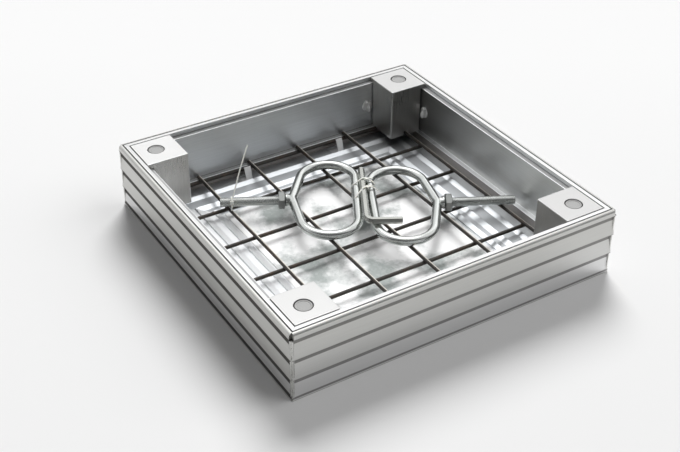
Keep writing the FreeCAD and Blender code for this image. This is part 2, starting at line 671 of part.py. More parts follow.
def handle_ring(side):
    """Closed ring bent from round rod, with a weld foot that meets the nut."""
    path = ring_path()
    first = path.OrderedEdges[0]
    start = first.valueAt(first.FirstParameter)
    direction = first.tangentAt(first.FirstParameter)
    section = Part.Wire(Part.makeCircle(ROD, start, direction))
    ring = swept(path, section)
    if side == "left":
        ring.rotate(V(size("skew_pivot"), 0, 0), Z_AXIS, -size("left_skew"))
    foot_start = size("nut_length") / 2
    foot = Part.makeCone(size("neck_weld") / 2, size("neck_weld_end") / 2, size("neck_depth") - foot_start,
                         V(foot_start, 0, 0), V(1, 0, 0))
    return shape_part(f"handle_ring_{side}", ring.fuse(foot).removeSplitter(), handle_placement(side))


def handle_nut(side):
    """Hexagon nut welded where the shank meets the ring."""
    length, across = size("nut_length"), size("nut_across")
    block = Part.Face(hexagon(across, -length / 2)).extrude(V(length, 0, 0))
    chamfer = Part.makeCone(size("nut_face") / 2 + length, size("nut_face") / 2, length,
                            V(-length / 2, 0, 0), V(1, 0, 0))
    block = block.common(chamfer).common(chamfer.mirror(V(0, 0, 0), V(1, 0, 0)))
    seat = Part.makeCylinder(size("shank_size") / 2, length, V(-length, 0, 0), V(1, 0, 0))
    return shape_part(f"handle_nut_{side}", block.cut(seat), handle_placement(side))


def handle_shank(side):
    """Threaded shank with a chamfered tip, seated in the nut."""
    length, radius = size(f"{side}_shank"), size("shank_size") / 2
    shank = Part.makeCylinder(radius, length, V(-length, 0, 0), V(1, 0, 0))
    tip = [e for e in shank.Edges if abs(e.BoundBox.XMax + length) < 0.01]
    shank = shank.makeChamfer(size("shank_chamfer"), tip)
    return shape_part(f"handle_shank_{side}", shank, handle_placement(side))


def bundle_point(along, across):
    """Point of the ground plan in the handles' own directions."""
    turn = math.radians(size("handle_turn"))
    return V(across * math.cos(turn) - along * math.sin(turn),
             across * math.sin(turn) + along * math.cos(turn), 0)


def key_corner():
    """Ground plan of the key's bend: aside of the middle between the two far bars, below the right nut."""
    turn = math.radians(size("handle_turn"))
    left, right = nut_place("left"), nut_place("right")
    middle = (left + right) / 2
    across = middle.x * math.cos(turn) + middle.y * math.sin(turn)
    along = right.y * math.cos(turn) - right.x * math.sin(turn) - size("key_start")
    return bundle_point(along, across - size("key_aside"))


def hex_key():
    """Bent hexagon key: its short arm lies over a bar, its long arm drops between the two."""
    across, length, arm = size("key_across"), size("key_length"), size("key_arm")
    path = rounded_path([V(arm, 0, 0), V(0, 0, 0), V(0, length, 0)],
                        [0, size("key_round"), 0], closed=False)
    key = swept(path, hexagon(across, arm))
    start = key_corner()
    level = ROD_Z + ROD + size("key_gap") + across / 2
    drop = math.degrees(math.asin(size("key_drop") / length))
    skew = math.degrees(math.atan(size("key_aside") / size("key_cross")))
    rotation = FreeCAD.Rotation(Z_AXIS, size("handle_turn") - skew).multiply(FreeCAD.Rotation(V(1, 0, 0), -drop))
    return shape_part("hex_key", key, FreeCAD.Placement(start + V(0, 0, level), rotation))


def slot_ring(half_length, low, high, thickness, width):
    """Closed band round a slot, standing in the XZ plane and centred on it."""
    def face(grow):
        left, right = -half_length - grow, half_length + grow
        bottom, top = low - grow, high + grow
        radius = min((high - low) * 0.49, size("tie_round")) + grow
        corners = [V(left, 0, bottom), V(right, 0, bottom), V(right, 0, top), V(left, 0, top)]
        return Part.Face(rounded_path(corners, [radius] * 4))
    return face(thickness).cut(face(0)).extrude(V(0, width, 0)).translate(V(0, -width / 2, 0))


def tie_head(place):
    """Small square lock of a plastic tie."""
    width, length, height = size("tie_head_width"), size("tie_head_length"), size("tie_head_height")
    head = Part.makeBox(length, width, height, V(-length / 2, -width / 2, 0))
    head = head.makeFillet(size("tie_head_round"), head.Edges)
    return head.translate(place)


def strap(start, end, width, thickness):
    """Straight flat strap from one point to another."""
    run = end - start
    block = Part.makeBox(width, thickness, run.Length, V(-width / 2, -thickness / 2, 0))
    block.Placement = FreeCAD.Placement(start, FreeCAD.Rotation(Z_AXIS, run))
    return block


def bar_at(side, y):
    """X of a handle's far bar where it crosses the given Y."""
    placement = handle_placement(side)
    start = placement.multVec(V(size("ring_depth"), 0, 0))
    direction = placement.Rotation.multVec(V(0, 1, 0))
    return start.x + direction.x * (y - start.y) / direction.y


def bundle_tie(label, low):
    """Tie round both far bars and the key, with its lock on top."""
    bar_y = FRONT_BAR_Y + TIE_BAR * size("bar_pitch")
    left_y, right_y = bar_y + size(f"{label}_left"), bar_y + size(f"{label}_right")
    turn = math.radians(abs(size("handle_turn")))
    reach = ROD / math.cos(turn) + size("tie_width") / 2 * math.tan(turn) + size("tie_gap")
    left = V(bar_at("left", left_y) - reach, left_y, 0)
    right = V(bar_at("right", right_y) + reach + size(f"{label}_slack"), right_y, 0)
    half = (right - left).Length / 2
    middle = (left + right) / 2
    run = (middle.y - key_corner().y) / math.cos(turn)
    drop = size("key_drop") / size("key_length") * run
    key_top = ROD_Z + ROD + size("key_gap") + size("key_across") - drop
    high = max(key_top, ROD_Z + ROD) + size("tie_gap")
    band = slot_ring(half, low, high, size("tie_thickness"), size("tie_width"))
    head = tie_head(V(half - size("tie_lock_back"), 0, high + size("tie_thickness") / 2))
    tail_start = V(half - size("tie_lock_back"), 0, high + size("tie_head_height") / 2)
    tail_end = tail_start + V(size("tie_tail_x"), -size("tie_tail_y"), size("tie_tail_z"))
    tail = strap(tail_start, tail_end, size("tie_width"), size("tie_thickness"))
    shape = band.fuse([head, tail]).removeSplitter()
    return shape_part(label, shape, FreeCAD.Placement(middle, FreeCAD.Rotation(V(1, 0, 0), right - left)))


def long_tie():
    """Tie near the left handle's tip, whose uncut tail stands up towards the back wall."""
    placement = handle_placement("left")
    radius = size("shank_size") / 2
    band = slot_ring(radius + size("tie_gap"), -radius - size("tie_gap"), radius + size("tie_gap"),
                     size("tie_thickness"), size("tie_width"))
    quarter = FreeCAD.Placement(V(-size("long_tie_back"), 0, 0), FreeCAD.Rotation(Z_AXIS, 90))
    band.Placement = placement.multiply(quarter)
    front = placement.multVec(V(-size("long_tie_back"), -size("long_tie_front"), size("long_tie_rise")))
    head = tie_head(V(0, 0, 0))
    head.Placement = FreeCAD.Placement(front, placement.Rotation)
    tip = front + V(size("long_tail_x"), size("long_tail_y"), size("long_tail_z"))
    tail = strap(front, tip, size("tie_width"), size("tie_thickness"))
    beside_bar = RIGHT_BAR_X - HOOK_BAR * size("bar_pitch") - size("bar_size") / 2 - size("tie_width")
    bar_side = V(beside_bar - size("hook_gap"), front.y, MESH_TOP_Z - size("bar_size") / 2)
    hook = strap(front, bar_side, size("tie_width"), size("tie_thickness"))
    return shape_part("long_tail_tie", band.fuse([head, tail, hook]).removeSplitter())


def build():
    for side in SIDES:
        frame_rail(side)
    corner_welds()
    for step, corner in enumerate(CORNERS):
        corner_lug(corner, step)
    gasket()
    for side in SIDES:
        tray_rail(side)
    floor_sheet()
    for step, corner in enumerate(CORNERS):
        corner_box(corner, step)
        corner_cap(corner, step)
        lifting_bush(corner, step)
        locking_bolt(corner, step)
    bolt_washers()
    box_screws()
    box_washers()
    mesh()
    for side in ("left", "right"):
        handle_ring(side)
        handle_nut(side)
        handle_shank(side)
    hex_key()
    under_rods = ROD_Z - ROD - size("tie_gap")
    bundle_tie("upper_tie", under_rods)
    under_bar = MESH_TOP_Z - size("bar_size") - size("tie_gap")
    bundle_tie("lower_tie", under_bar)
    long_tie()


def check_and_write():
    """Stop on any failed object, then write each sub-part to its own file."""
    doc.recompute()
    for obj in doc.Objects:
        if {"Invalid", "Error"} & set(obj.State):
            raise RuntimeError(f"{obj.Label} is {obj.State}")
    os.makedirs("parts", exist_ok=True)
    for obj in parts:
        if obj.Shape.isNull() or not obj.Shape.isValid():
            raise RuntimeError(f"{obj.Label} has no valid shape")
        obj.Shape.exportStep(f"parts/{obj.Label}.step")
        print(f"{obj.Label}: {len(obj.Shape.Solids)} solid, {obj.Shape.Volume:.0f} mm3")
    print(len(parts), "sub-parts")


build()
check_and_write()
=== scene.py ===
import math
from types import SimpleNamespace

import bmesh
import bpy
import numpy as np
from bpy.props import FloatProperty, FloatVectorProperty, IntProperty, PointerProperty
from mathutils import Matrix, Vector


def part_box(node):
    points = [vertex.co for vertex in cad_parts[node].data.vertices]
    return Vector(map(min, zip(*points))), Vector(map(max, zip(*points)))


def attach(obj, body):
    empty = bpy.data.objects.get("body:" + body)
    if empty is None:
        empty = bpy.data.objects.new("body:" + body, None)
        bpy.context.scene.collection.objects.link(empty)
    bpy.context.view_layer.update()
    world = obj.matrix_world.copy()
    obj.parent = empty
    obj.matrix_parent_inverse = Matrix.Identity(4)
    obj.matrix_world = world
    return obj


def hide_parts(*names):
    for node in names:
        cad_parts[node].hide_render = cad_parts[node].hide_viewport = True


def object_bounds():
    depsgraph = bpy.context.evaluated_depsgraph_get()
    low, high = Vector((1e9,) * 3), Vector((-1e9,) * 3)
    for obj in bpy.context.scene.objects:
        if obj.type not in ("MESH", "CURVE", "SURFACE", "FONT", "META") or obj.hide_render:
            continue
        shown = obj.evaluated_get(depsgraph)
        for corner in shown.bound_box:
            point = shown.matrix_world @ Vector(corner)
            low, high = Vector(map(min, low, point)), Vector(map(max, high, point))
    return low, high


bl_info = {
    "name": "Paving cover looks",
    "version": (1, 0, 0),
    "blender": (4, 5, 0),
    "location": "View3D > Sidebar > Cover",
    "description": "Dresses the packed recessed paving cover with detailed pieces and finishes",
    "category": "Object",
}

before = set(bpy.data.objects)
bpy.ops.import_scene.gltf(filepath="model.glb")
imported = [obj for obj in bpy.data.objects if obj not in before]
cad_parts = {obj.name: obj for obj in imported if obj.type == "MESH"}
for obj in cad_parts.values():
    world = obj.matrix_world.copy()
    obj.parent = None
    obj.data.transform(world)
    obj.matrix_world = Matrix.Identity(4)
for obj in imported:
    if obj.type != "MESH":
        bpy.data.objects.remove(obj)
CAD_LOW, CAD_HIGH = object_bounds()
MM = 0.001
HALF, TOP = CAD_HIGH[0] / MM, CAD_HIGH[2] / MM
SIDES = ("back", "left", "front", "right")
OPPOSITE = {"back": "front", "right": "left"}
CORNERS = ("back_right", "back_left", "front_left", "front_right")
CORNER_SIGNS = ((1, 1), (-1, 1), (-1, -1), (1, -1))
HANDS = ("left", "right")
BARS = range(1, 7)
FLAT = 19.5  # width of the tray's flat floor from the foot to the first ridge, in millimetres
UPRIGHT = [1, 2, 0]  # order that stands rings round the X axis up along Z
LINES_X, LINES_Y = (0.02, 1, 1), (1, 0.02, 1)  # stretch of the drawn lines of a rail along X or Y


def number(name, value, text):
    """A number that the panel shows: a size in millimetres, an angle in degrees or a brightness."""
    return FloatProperty(name=name, description=text, default=value)


def tint(name, value, text):
    """A colour that the panel shows."""
    return FloatVectorProperty(name=name, description=text, default=value, size=3, min=0.0, max=1.0, subtype="COLOR")


class FrameSizes(bpy.types.PropertyGroup):
    seat: number("Seat", 20.0, "Width of the seat that the tray rests on")
    wall: number("Wall", 4.25, "Thickness of the upright wall at the top")
    seat_thickness: number("Seat thickness", 2.0, "Thickness of the seat")
    bead: number("Bead", 8.5, "Height of the top bead")
    lip_pitch: number("Lip pitch", 26.75, "Distance between two lips of the outer face")
    lip_relief: number("Lip relief", 2.0, "How far the outer face lies back between the lips")
    lip_edge: number("Lip edge", 1.2, "Height of the flat edge of a lip")
    lip_under: number("Lip underside", 0.8, "Height of the slope under a lip")
    lip_bevel: number("Lip bevel", 22.0, "Height of the slope over a lip")
    # The next three heights set the bands of painted shade under and on each lip of the frame
    painted_shade_side: number("Soil on the sides", 8.4, "Height of the soiled band below a lip of the left and right rail")
    painted_shade_front: number("Soil on the front", 5.6, "Height of the soiled band below a lip of the front and back rail")
    painted_shade_on_lip: number("Soil on a lip", 0.6, "Height of the soiled band on a lip's edge")
    weld_notch: number("Weld notch", 3.6, "Size of the notch that the corner weld fills")
    edge_round: number("Edge rounding", 0.45, "Radius on the edges of the section")
    bead_round: number("Bead rounding", 3.9, "Radius on the outer edge of the top bead")
    lip_notch: number("Lip notch", 1.1, "How far a lip ends before the corner")


class TraySizes(bpy.types.PropertyGroup):
    rim: number("Rim", 5.05, "Width of the rim's top")
    rim_drop: number("Rim drop", 6.0, "Depth of the ledge below the rim")
    ledge: number("Ledge", 6.7, "Width of the ledge")
    foot: number("Foot", 6.5, "Width of the foot along the wall")
    foot_rise: number("Foot rise", 11.5, "Height of the foot over the floor")
    floor: number("Floor", 2.0, "Thickness of the floor")
    ridge_height: number("Ridge height", 2.5, "Height of the ridges on the floor, at their outer edge")
    mitre_gap: number("Mitre gap", 0.12, "Half the gap between two rails at a corner")
    slot_width: number("Slot width", 14.5, "Width of a punched slot")
    slot_length: number("Slot length", 20.0, "Length of a punched slot")
    tongue_first: number("First tongue", -57.0, "Place of the first tongue along the rail")
    tongue_pitch: number("Tongue pitch", 143.5, "Distance between the two tongues")
    tongue_width: number("Tongue width", 9.5, "Width of a punched tongue")
    tongue_thickness: number("Tongue thickness", 1.5, "Thickness of a punched tongue")
    sheet_wave: number("Sheet wave", 0.05, "How far the floor sheet is out of flat")
    plate_round: number("Plate rounding", 0.5, "Radius on the edges of the corner plates")
    plate_gap: number("Plate gap", 1.1, "Gap added between a corner plate and the rim")


class HandleSizes(bpy.types.PropertyGroup):
    turn: number("Turn", -27.2, "Direction of the handles in the ground plan, in degrees")
    half_width: number("Half width", 81.5, "Half the width of a ring, to the rod's centre")
    depth: number("Depth", 95.6, "Depth of a ring from the nut to the far bar")
    neck: number("Neck", 13.5, "Distance from the nut to the rod's centre")
    lean: number("Lean", 11.5, "Slope of the neck's sides, in degrees")
    left_skew: number("Left skew", 2.2, "Turn of the left ring on its shank, in degrees")
    skew_pivot: number("Skew pivot", 54.0, "Distance from the nut to the point that the left ring is turned about")
    rod: number("Rod", 12.0, "Diameter of the ring's rod")
    shank: number("Shank", 12.0, "Diameter of the threaded shank")
    pitch: number("Thread pitch", 1.5, "Pitch of the shank's thread")
    thread: number("Thread depth", 0.45, "Depth of the shank's thread")
    nut_face: number("Nut face", 20.4, "Diameter of the chamfer on the nut's face")
    nut_length: number("Nut length", 8.5, "Length of the nut")
    key: number("Key", 8.0, "Size across the flats of the key")
    key_arm: number("Key arm", 44.0, "Length of the key's short arm")
    key_length: number("Key length", 129.0, "Length of the key's long arm")
    key_start: number("Key start", 49.2, "How far the key's bend lies below the right nut")
    key_drop: number("Key drop", 6.2, "How far the key's long arm drops")
    key_aside: number("Key aside", 3.3, "How far the key's bend lies off the middle between the far bars")
    key_cross: number("Key crossing", 85.0, "Distance from the bend at which the key crosses that middle")


class TieSizes(bpy.types.PropertyGroup):
    width: number("Width", 2.2, "Width of a tie's band")
    thickness: number("Thickness", 1.1, "Thickness of a tie's band")
    head: number("Head", 4.6, "Width of a tie's lock")
    upper_left: number("Upper tie, left", 59.5, "Where the upper tie crosses the left ring's far bar")
    upper_right: number("Upper tie, right", 60.0, "Where the upper tie crosses the right ring's far bar")
    lower_left: number("Lower tie, left", 33.5, "Where the lower tie crosses the left ring's far bar")
    lower_right: number("Lower tie, right", 44.0, "Where the lower tie crosses the right ring's far bar")


class Finishes(bpy.types.PropertyGroup):
    frame_metal: tint("Frame", (0.63, 0.63, 0.61), "Colour of the frame's aluminium")
    tray_metal: tint("Tray", (0.90, 0.915, 0.925), "Colour of the tray's aluminium")
    # Painted light: a paler colour on the frame's lower bands stands for light bounced up from the floor
    painted_bounce_light: tint("Pale band", (0.86, 0.86, 0.87), "Colour of the cleaner lower bands of the frame")
    sheet_patch: tint("Sheet patches", (0.38, 0.41, 0.40), "Colour of the grey patches on the galvanised sheet")
    # Painted shade: the right wall's colour darkens towards its back end
    painted_corner_shade: tint("Corner film", (0.03, 0.03, 0.03), "Colour of the film that darkens the right wall's back end")
    # Painted shade: a darker colour on the back and right rails' floor
    painted_ridge_shade: tint("Ridge film", (0.58, 0.61, 0.64), "Colour of the film on the back and right rails' floor")
    floor_film: tint("Floor film", (0.87, 0.88, 0.89), "Colour of the dull film on the left and front rails' floor")
    # Painted shade: a darker colour on the right wall
    painted_wall_shade: tint("Wall film", (0.46, 0.45, 0.40), "Colour of the dull film on the right wall")
    box_metal: tint("Corner boxes", (0.93, 0.92, 0.89), "Colour of the corner boxes")
    plate_metal: tint("Corner plates", (0.64, 0.64, 0.635), "Colour of the corner plates")
    sheet_metal: tint("Floor sheet", (0.88, 0.895, 0.905), "Colour of the galvanised sheet")
    handle_metal: tint("Handles", (0.60, 0.62, 0.605), "Colour of the zinc-plated handles")
    key_metal: tint("Key", (0.50, 0.51, 0.48), "Colour of the key")
    # Painted shade: dark colour under the frame's lips and in the corner of the tray's ledge
    painted_shading_and_soil: tint("Soil", (0.05, 0.045, 0.04), "Colour of the soil under the lips")
    # Painted shade and reflection: brown colour on the tray's foot, where the mesh bars reflect and shade falls
    painted_foot_reflection: tint("Stain", (0.22, 0.18, 0.155), "Colour of the stain on the tray's foot")
    # Painted shade: dark colour on the top of the back rail's foot
    foot_shade: tint("Foot shade", (0.17, 0.17, 0.165), "Colour of the dull film on the back foot")
    bar_metal: tint("Mesh", (0.045, 0.04, 0.035), "Colour of the scale on the mesh bars")
    rust: tint("Rust", (0.07, 0.045, 0.03), "Colour of the rust on the mesh bars")
    # Painted highlight: light colour on the side of the mesh bars that faces the light
    painted_bar_highlight: tint("Rubbed mesh", (0.74, 0.70, 0.63), "Colour of the mesh bars where their scale is rubbed off")
    cap: tint("Caps", (0.42, 0.42, 0.415), "Colour of the plastic caps")
    tie: tint("Ties", (0.90, 0.90, 0.85), "Colour of the plastic ties")
    rubber: tint("Seal", (0.02, 0.02, 0.02), "Colour of the rubber seal")


class StageSettings(bpy.types.PropertyGroup):
    floor: tint("Floor", (0.88, 0.88, 0.88), "Colour of the floor")
    room_front: number("Room front", 0.15, "Brightness that metal sees behind the viewer")
    room_back: number("Room back", 0.95, "Brightness that metal sees behind the object")
    window: number("Window", 0.6, "Brightness of the low lamp that metal sees at the right back")
    room_from: number("Room dark end", -0.3, "Cosine at which the room starts to brighten")
    room_to: number("Room bright end", 0.45, "Cosine at which the room is brightest")
    horizon: number("Horizon", 0.55, "Share of the room's brightness that is left at the horizon")
    ceiling: number("Ceiling", 1.4, "Share of the room's brightness from half way up")
    fill: number("Fill", 0.22, "Even light from all round on floor and plastic")
    side: number("Side light", 0.95, "Strength of the weak light from the right")
    key: number("Key light", 2.95, "Strength of the large soft light from behind")
    key_size: number("Key size", 30.0, "Angle that the soft light fills, in degrees")
    lamp: number("Lamp", 2.6, "Brightness of the overhead lamp that metal sees")
    seed: IntProperty(name="Seed", description="Seed of the small unevenness", default=7)


# Shapes, worked out in millimetres

def full_turn(count):
    """Angles at equal steps once round a circle."""
    return np.linspace(0, 2 * math.pi, count, endpoint=False)


def circle(radius, count):
    """Points at equal steps round a circle."""
    turn = full_turn(count)
    return radius * np.stack([np.cos(turn), np.sin(turn)], axis=-1)


def unit(vectors):
    """Each vector divided by its length."""
    return vectors / np.linalg.norm(vectors, axis=-1, keepdims=True)


def rounded_outline(corners, radii, steps=3, closed=True):
    """Each corner becomes points on the circle that touches both of its sides, by equal turns."""
    points = np.asarray(corners, float)
    radii = np.broadcast_to(np.asarray(radii, float), len(points)).copy()
    before = unit(np.roll(points, 1, axis=0) - points)
    after = unit(np.roll(points, -1, axis=0) - points)
    half = np.arccos(np.clip((before * after).sum(axis=1), -1, 1)) / 2
    if not closed:
        radii[[0, -1]] = 0.0
    start = points + before * (radii / np.tan(half))[:, None]
    middle = before + after
    middle /= np.maximum(np.linalg.norm(middle, axis=1), 1e-9)[:, None]
    centre = points + middle * (radii / np.sin(half))[:, None]
    side = np.sign(before[:, 1] * after[:, 0] - before[:, 0] * after[:, 1])
    turns = (side * (math.pi - 2 * half))[:, None] * np.linspace(0, 1, steps + 1)
    reach = start - centre
    x = reach[:, :1] * np.cos(turns) - reach[:, 1:] * np.sin(turns) + centre[:, :1]
    y = reach[:, :1] * np.sin(turns) + reach[:, 1:] * np.cos(turns) + centre[:, 1:]
    outline = np.stack([x, y], axis=-1).reshape(-1, 2)
    fresh = np.linalg.norm(outline - np.roll(outline, 1, axis=0), axis=1) > 1e-5
    fresh[0] |= not closed
    return outline[fresh]


def rectangle(wide, tall, radius, steps):
    """A rectangle round the origin with rounded corners."""
    x, y = wide / 2, tall / 2
    return rounded_outline([(-x, -y), (x, -y), (x, y), (-x, y)], radius, steps)


def grid_faces(rows, columns, wrap_rows, wrap_columns):
    """Four-sided faces between neighbours of a grid of points, row after row."""
    row = np.arange(rows if wrap_rows else rows - 1)[:, None]
    column = np.arange(columns if wrap_columns else columns - 1)[None, :]
    next_row, next_column = (row + 1) % rows, (column + 1) % columns
    return np.stack([row * columns + column, row * columns + next_column,
                     next_row * columns + next_column, next_row * columns + column], axis=-1).reshape(-1, 4)


def lofted(rings, closed=False, caps=True):
    """Faces over equal rings of points; open lofts get a flat cap on their first and last ring."""
    rows, columns = rings.shape[:2]
    faces = grid_faces(rows, columns, closed, True).tolist()
    if caps and not closed:
        faces += [list(range(columns)), list(range((rows - 1) * columns, rows * columns))]
    return rings.reshape(-1, 3), faces


def rod_rings(along, size, turn):
    """Rings round the X axis: each has its place along it and its radius, which may change with the angle."""
    return np.stack([np.repeat(along[:, None], len(turn), axis=1), size * np.cos(turn), size * np.sin(turn)], axis=-1)


def revolved(profile, count):
    """A profile of (radius, level) turned round the upright axis; its ends at radius 0 close it."""
    profile = np.asarray(profile, float)
    rings = rod_rings(profile[:, 1], profile[:, :1], full_turn(count))[..., UPRIGHT]
    points, faces = lofted(rings[1:-1], caps=False)
    tip, foot, last = len(points), len(points) + 1, len(points) - count
    ring = np.arange(count)
    after = np.roll(ring, -1)
    faces += np.stack([np.full(count, tip), after, ring], axis=-1).tolist()
    faces += np.stack([np.full(count, foot), last + ring, last + after], axis=-1).tolist()
    return np.concatenate([points, [(0, 0, profile[0, 1]), (0, 0, profile[-1, 1])]]), faces


def flat_path_loft(path, section, closed, scales=None):
    """A section carried along a path in the XY plane, square to it at each point."""
    forward = np.roll(path, -1, axis=0) - np.roll(path, 1, axis=0) if closed else np.gradient(path, axis=0)
    forward = unit(forward)
    across = np.stack([-forward[:, 1], forward[:, 0]], axis=-1)
    scales = np.ones(len(path)) if scales is None else scales
    rings = np.zeros((len(path), len(section), 3))
    rings[..., :2] = path[:, None, :] + section[None, :, :1] * across[:, None, :] * scales[:, None, None]
    rings[..., 2] = section[None, :, 1] * scales[:, None]
    return lofted(rings, closed=closed)


def strap_along(path, width, thickness, up):
    """A flat band with rounded edges, carried along a path in space; up is its face's direction."""
    forward = unit(np.gradient(path, axis=0))
    across = unit(np.cross(forward, np.array([up])))
    normal = np.cross(across, forward)
    section = rectangle(width, thickness, thickness * 0.3, 2)
    return lofted(path[:, None, :] + section[None, :, :1] * across[:, None, :]
                  + section[None, :, 1:] * normal[:, None, :])


def steps_between(points, spacing):
    """Points at even steps along a closed run of straight pieces."""
    lengths = np.linalg.norm(np.roll(points, -1, axis=0) - points, axis=1)
    total = np.concatenate([[0], np.cumsum(lengths)])
    places = np.arange(0, total[-1], total[-1] / round(total[-1] / spacing))
    ring = np.concatenate([points, points[:1]])
    return np.stack([np.interp(places, total, ring[:, 0]), np.interp(places, total, ring[:, 1])], axis=-1)


def wrap_round(circles, count):
    """Loop pulled tight round several circles: for each direction, the point of the circle that reaches furthest."""
    out = circle(1.0, count)
    centres = np.array([c[:2] for c in circles])
    radii = np.array([c[2] for c in circles])
    furthest = np.argmax(centres @ out.T + radii[:, None], axis=0)
    return centres[furthest] + radii[furthest, None] * out


def uneven(count, seed, strength):
    """A smooth closed run of random numbers: a few sine waves with random phase."""
    random = np.random.default_rng(seed)
    turn = full_turn(count)
    return strength * sum(np.sin(k * turn + random.uniform(0, 6.3)) * random.uniform(0.3, 1) / k ** 0.5
                          for k in range(1, 6))


def gathered(solids):
    """Several lists of points and faces as one."""
    points, faces, first = [], [], 0
    for solid_points, solid_faces in solids:
        points.append(solid_points)
        faces += [[first + index for index in face] for face in solid_faces]
        first += len(solid_points)
    return np.concatenate(points), faces


def turned(solid, step):
    """A solid after quarter turns round the upright axis."""
    points, faces = solid
    c, s = ((1, 0), (0, 1), (-1, 0), (0, -1))[step]
    return points @ np.array([[c, s, 0], [-s, c, 0], [0, 0, 1]], float), faces


def placed(solid, matrix):
    """A solid carried by a 4 x 4 matrix in millimetres."""
    points, faces = solid
    m = np.array(matrix)
    return points @ m[:3, :3].T + m[:3, 3], faces


def add_piece(name, solid, finish, replaced, sharp=32.0):
    """Make an object from points and faces, smooth except at edges sharper than the given angle."""
    points, faces = solid
    mesh = bpy.data.meshes.new(name)
    mesh.from_pydata((points * MM).tolist(), [], faces)
    grown = bmesh.new()
    grown.from_mesh(mesh)
    bmesh.ops.recalc_face_normals(grown, faces=grown.faces)
    grown.to_mesh(mesh)
    grown.free()
    mesh.shade_smooth()
    mesh.set_sharp_from_angle(angle=math.radians(sharp))
    mesh.materials.append(finish)
    piece = bpy.data.objects.new(name, mesh)
    bpy.context.scene.collection.objects.link(piece)
    flatten = piece.modifiers.new("Flat faces stay flat", "WEIGHTED_NORMAL")
    flatten.keep_sharp = True
    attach(piece, "root")
    if replaced:
        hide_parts(*replaced)


def node_box(node):
    """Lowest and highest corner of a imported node, in millimetres."""
    low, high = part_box(node)
    return np.array(low) / MM, np.array(high) / MM


def node_middle(node):
    """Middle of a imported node's box, in millimetres."""
    low, high = node_box(node)
    return (low + high) / 2


# Finishes; a value led into a socket is a plain one or another node's output

def feed(tree, value, socket):
    """Link another node's output to a socket, or set the socket to a plain value."""
    if isinstance(value, bpy.types.NodeSocket):
        tree.links.new(value, socket)
    else:
        socket.default_value = value


def add(tree, kind, inputs=(), **settings):
    """Add a shader node with its settings and inputs, and give its outputs."""
    made = tree.nodes.new("ShaderNode" + kind)
    for name, value in settings.items():
        setattr(made, name, value)
    for name, value in dict(inputs).items():
        feed(tree, value, made.inputs[name])
    return made.outputs


def maths(tree, operation, *values, **settings):
    """One step of arithmetic on up to three values."""
    return add(tree, "Math", enumerate(values), operation=operation, **settings)[0]


def spread(tree, source, low, high, stops=(0.3, 0.7), **settings):
    """Map a mask between two stops onto a range of values."""
    return add(tree, "MapRange", {"Value": source, "From Min": stops[0], "From Max": stops[1], "To Min": low,
                                  "To Max": high}, **settings)["Result"]


def mixed(tree, mask, first, second):
    """The first value or colour where the mask is 0, and the second where it is 1."""
    if isinstance(second, tuple):
        return add(tree, "Mix", {0: mask, 6: first, 7: second}, data_type="RGBA")[2]
    return add(tree, "Mix", {0: mask, 2: first, 3: second})[0]


def noise(tree, place, scale, detail, rough):
    """Soft random clouds; a larger scale makes them finer."""
    return add(tree, "TexNoise", {"Vector": place, "Scale": scale, "Detail": detail, "Roughness": rough})["Fac"]


def toward(tree, vector, direction):
    """Share of a vector that points in a direction."""
    return add(tree, "VectorMath", {0: vector, 1: Vector(direction).normalized()}, operation="DOT_PRODUCT")["Value"]


def object_place(tree):
    """Place in the object's own coordinates."""
    return add(tree, "TexCoord")["Object"]


def parts_of(tree, vector):
    """The X, Y and Z of a vector."""
    return add(tree, "SeparateXYZ", {0: vector})


def shaded(colour, factor=1.0):
    """A colour made darker or lighter, with its alpha."""
    return (*(min(1.0, part * factor) for part in colour[:3]), 1.0)


def effect_group(name, inputs, outputs):
    """An empty group of shader nodes with the given sockets: (name, kind) for an input, a name for an output."""
    tree = bpy.data.node_groups.new(name, "ShaderNodeTree")
    for socket, kind in inputs:
        tree.interface.new_socket(name=socket, in_out="INPUT", socket_type="NodeSocket" + kind)
    for socket in outputs:
        tree.interface.new_socket(name=socket, in_out="OUTPUT", socket_type="NodeSocketFloat")
    return tree, tree.nodes.new("NodeGroupInput").outputs, tree.nodes.new("NodeGroupOutput").inputs


def drawn_grain():
    """Long fine lines of a rolled or extruded surface, soft clouds over them, and fine specks."""
    tree, given, result = effect_group(
        "Drawn grain", [("Line stretch", "Vector"), ("Line scale", "Float"), ("Cloud stretch", "Vector"),
                        ("Cloud scale", "Float")], ["Lines", "Clouds", "Specks"])
    place = object_place(tree)
    for name, detail, rough in (("Line", 3.0, 0.6), ("Cloud", 3.5, 0.5)):
        stretched = add(tree, "VectorMath", {0: place, 1: given[f"{name} stretch"]}, operation="MULTIPLY")[0]
        feed(tree, noise(tree, stretched, given[f"{name} scale"], detail, rough), result[f"{name}s"])
    feed(tree, noise(tree, place, 1100.0, 2.0, 0.6), result["Specks"])
    return tree


def band_mask():
    """1 where the square distance from the middle and the level both lie in a band, with soft edges.

    The square distance is the larger of |x| and |y|, so that the four rails get the same band.
    """
    tree, given, result = effect_group(
        "Square band", [(name, "Float") for name in ("Inner", "Outer", "Low", "High", "Soft")], ["Mask"])
    place = parts_of(tree, object_place(tree))
    square = maths(tree, "MAXIMUM", *(maths(tree, "ABSOLUTE", place[axis]) for axis in "XY"))

    def ramp(value, edge):
        """0 before the edge, 1 after it."""
        steep = maths(tree, "DIVIDE", maths(tree, "SUBTRACT", value, given[edge]), given["Soft"])
        return maths(tree, "MINIMUM", maths(tree, "MAXIMUM", steep, 0.0), 1.0)

    def between(value, low, high):
        """1 between two edges, 0 outside them."""
        return maths(tree, "MULTIPLY", ramp(value, low), maths(tree, "SUBTRACT", 1.0, ramp(value, high)))

    both = maths(tree, "MULTIPLY", between(square, "Inner", "Outer"), between(place["Z"], "Low", "High"))
    feed(tree, both, result["Mask"])
    return tree


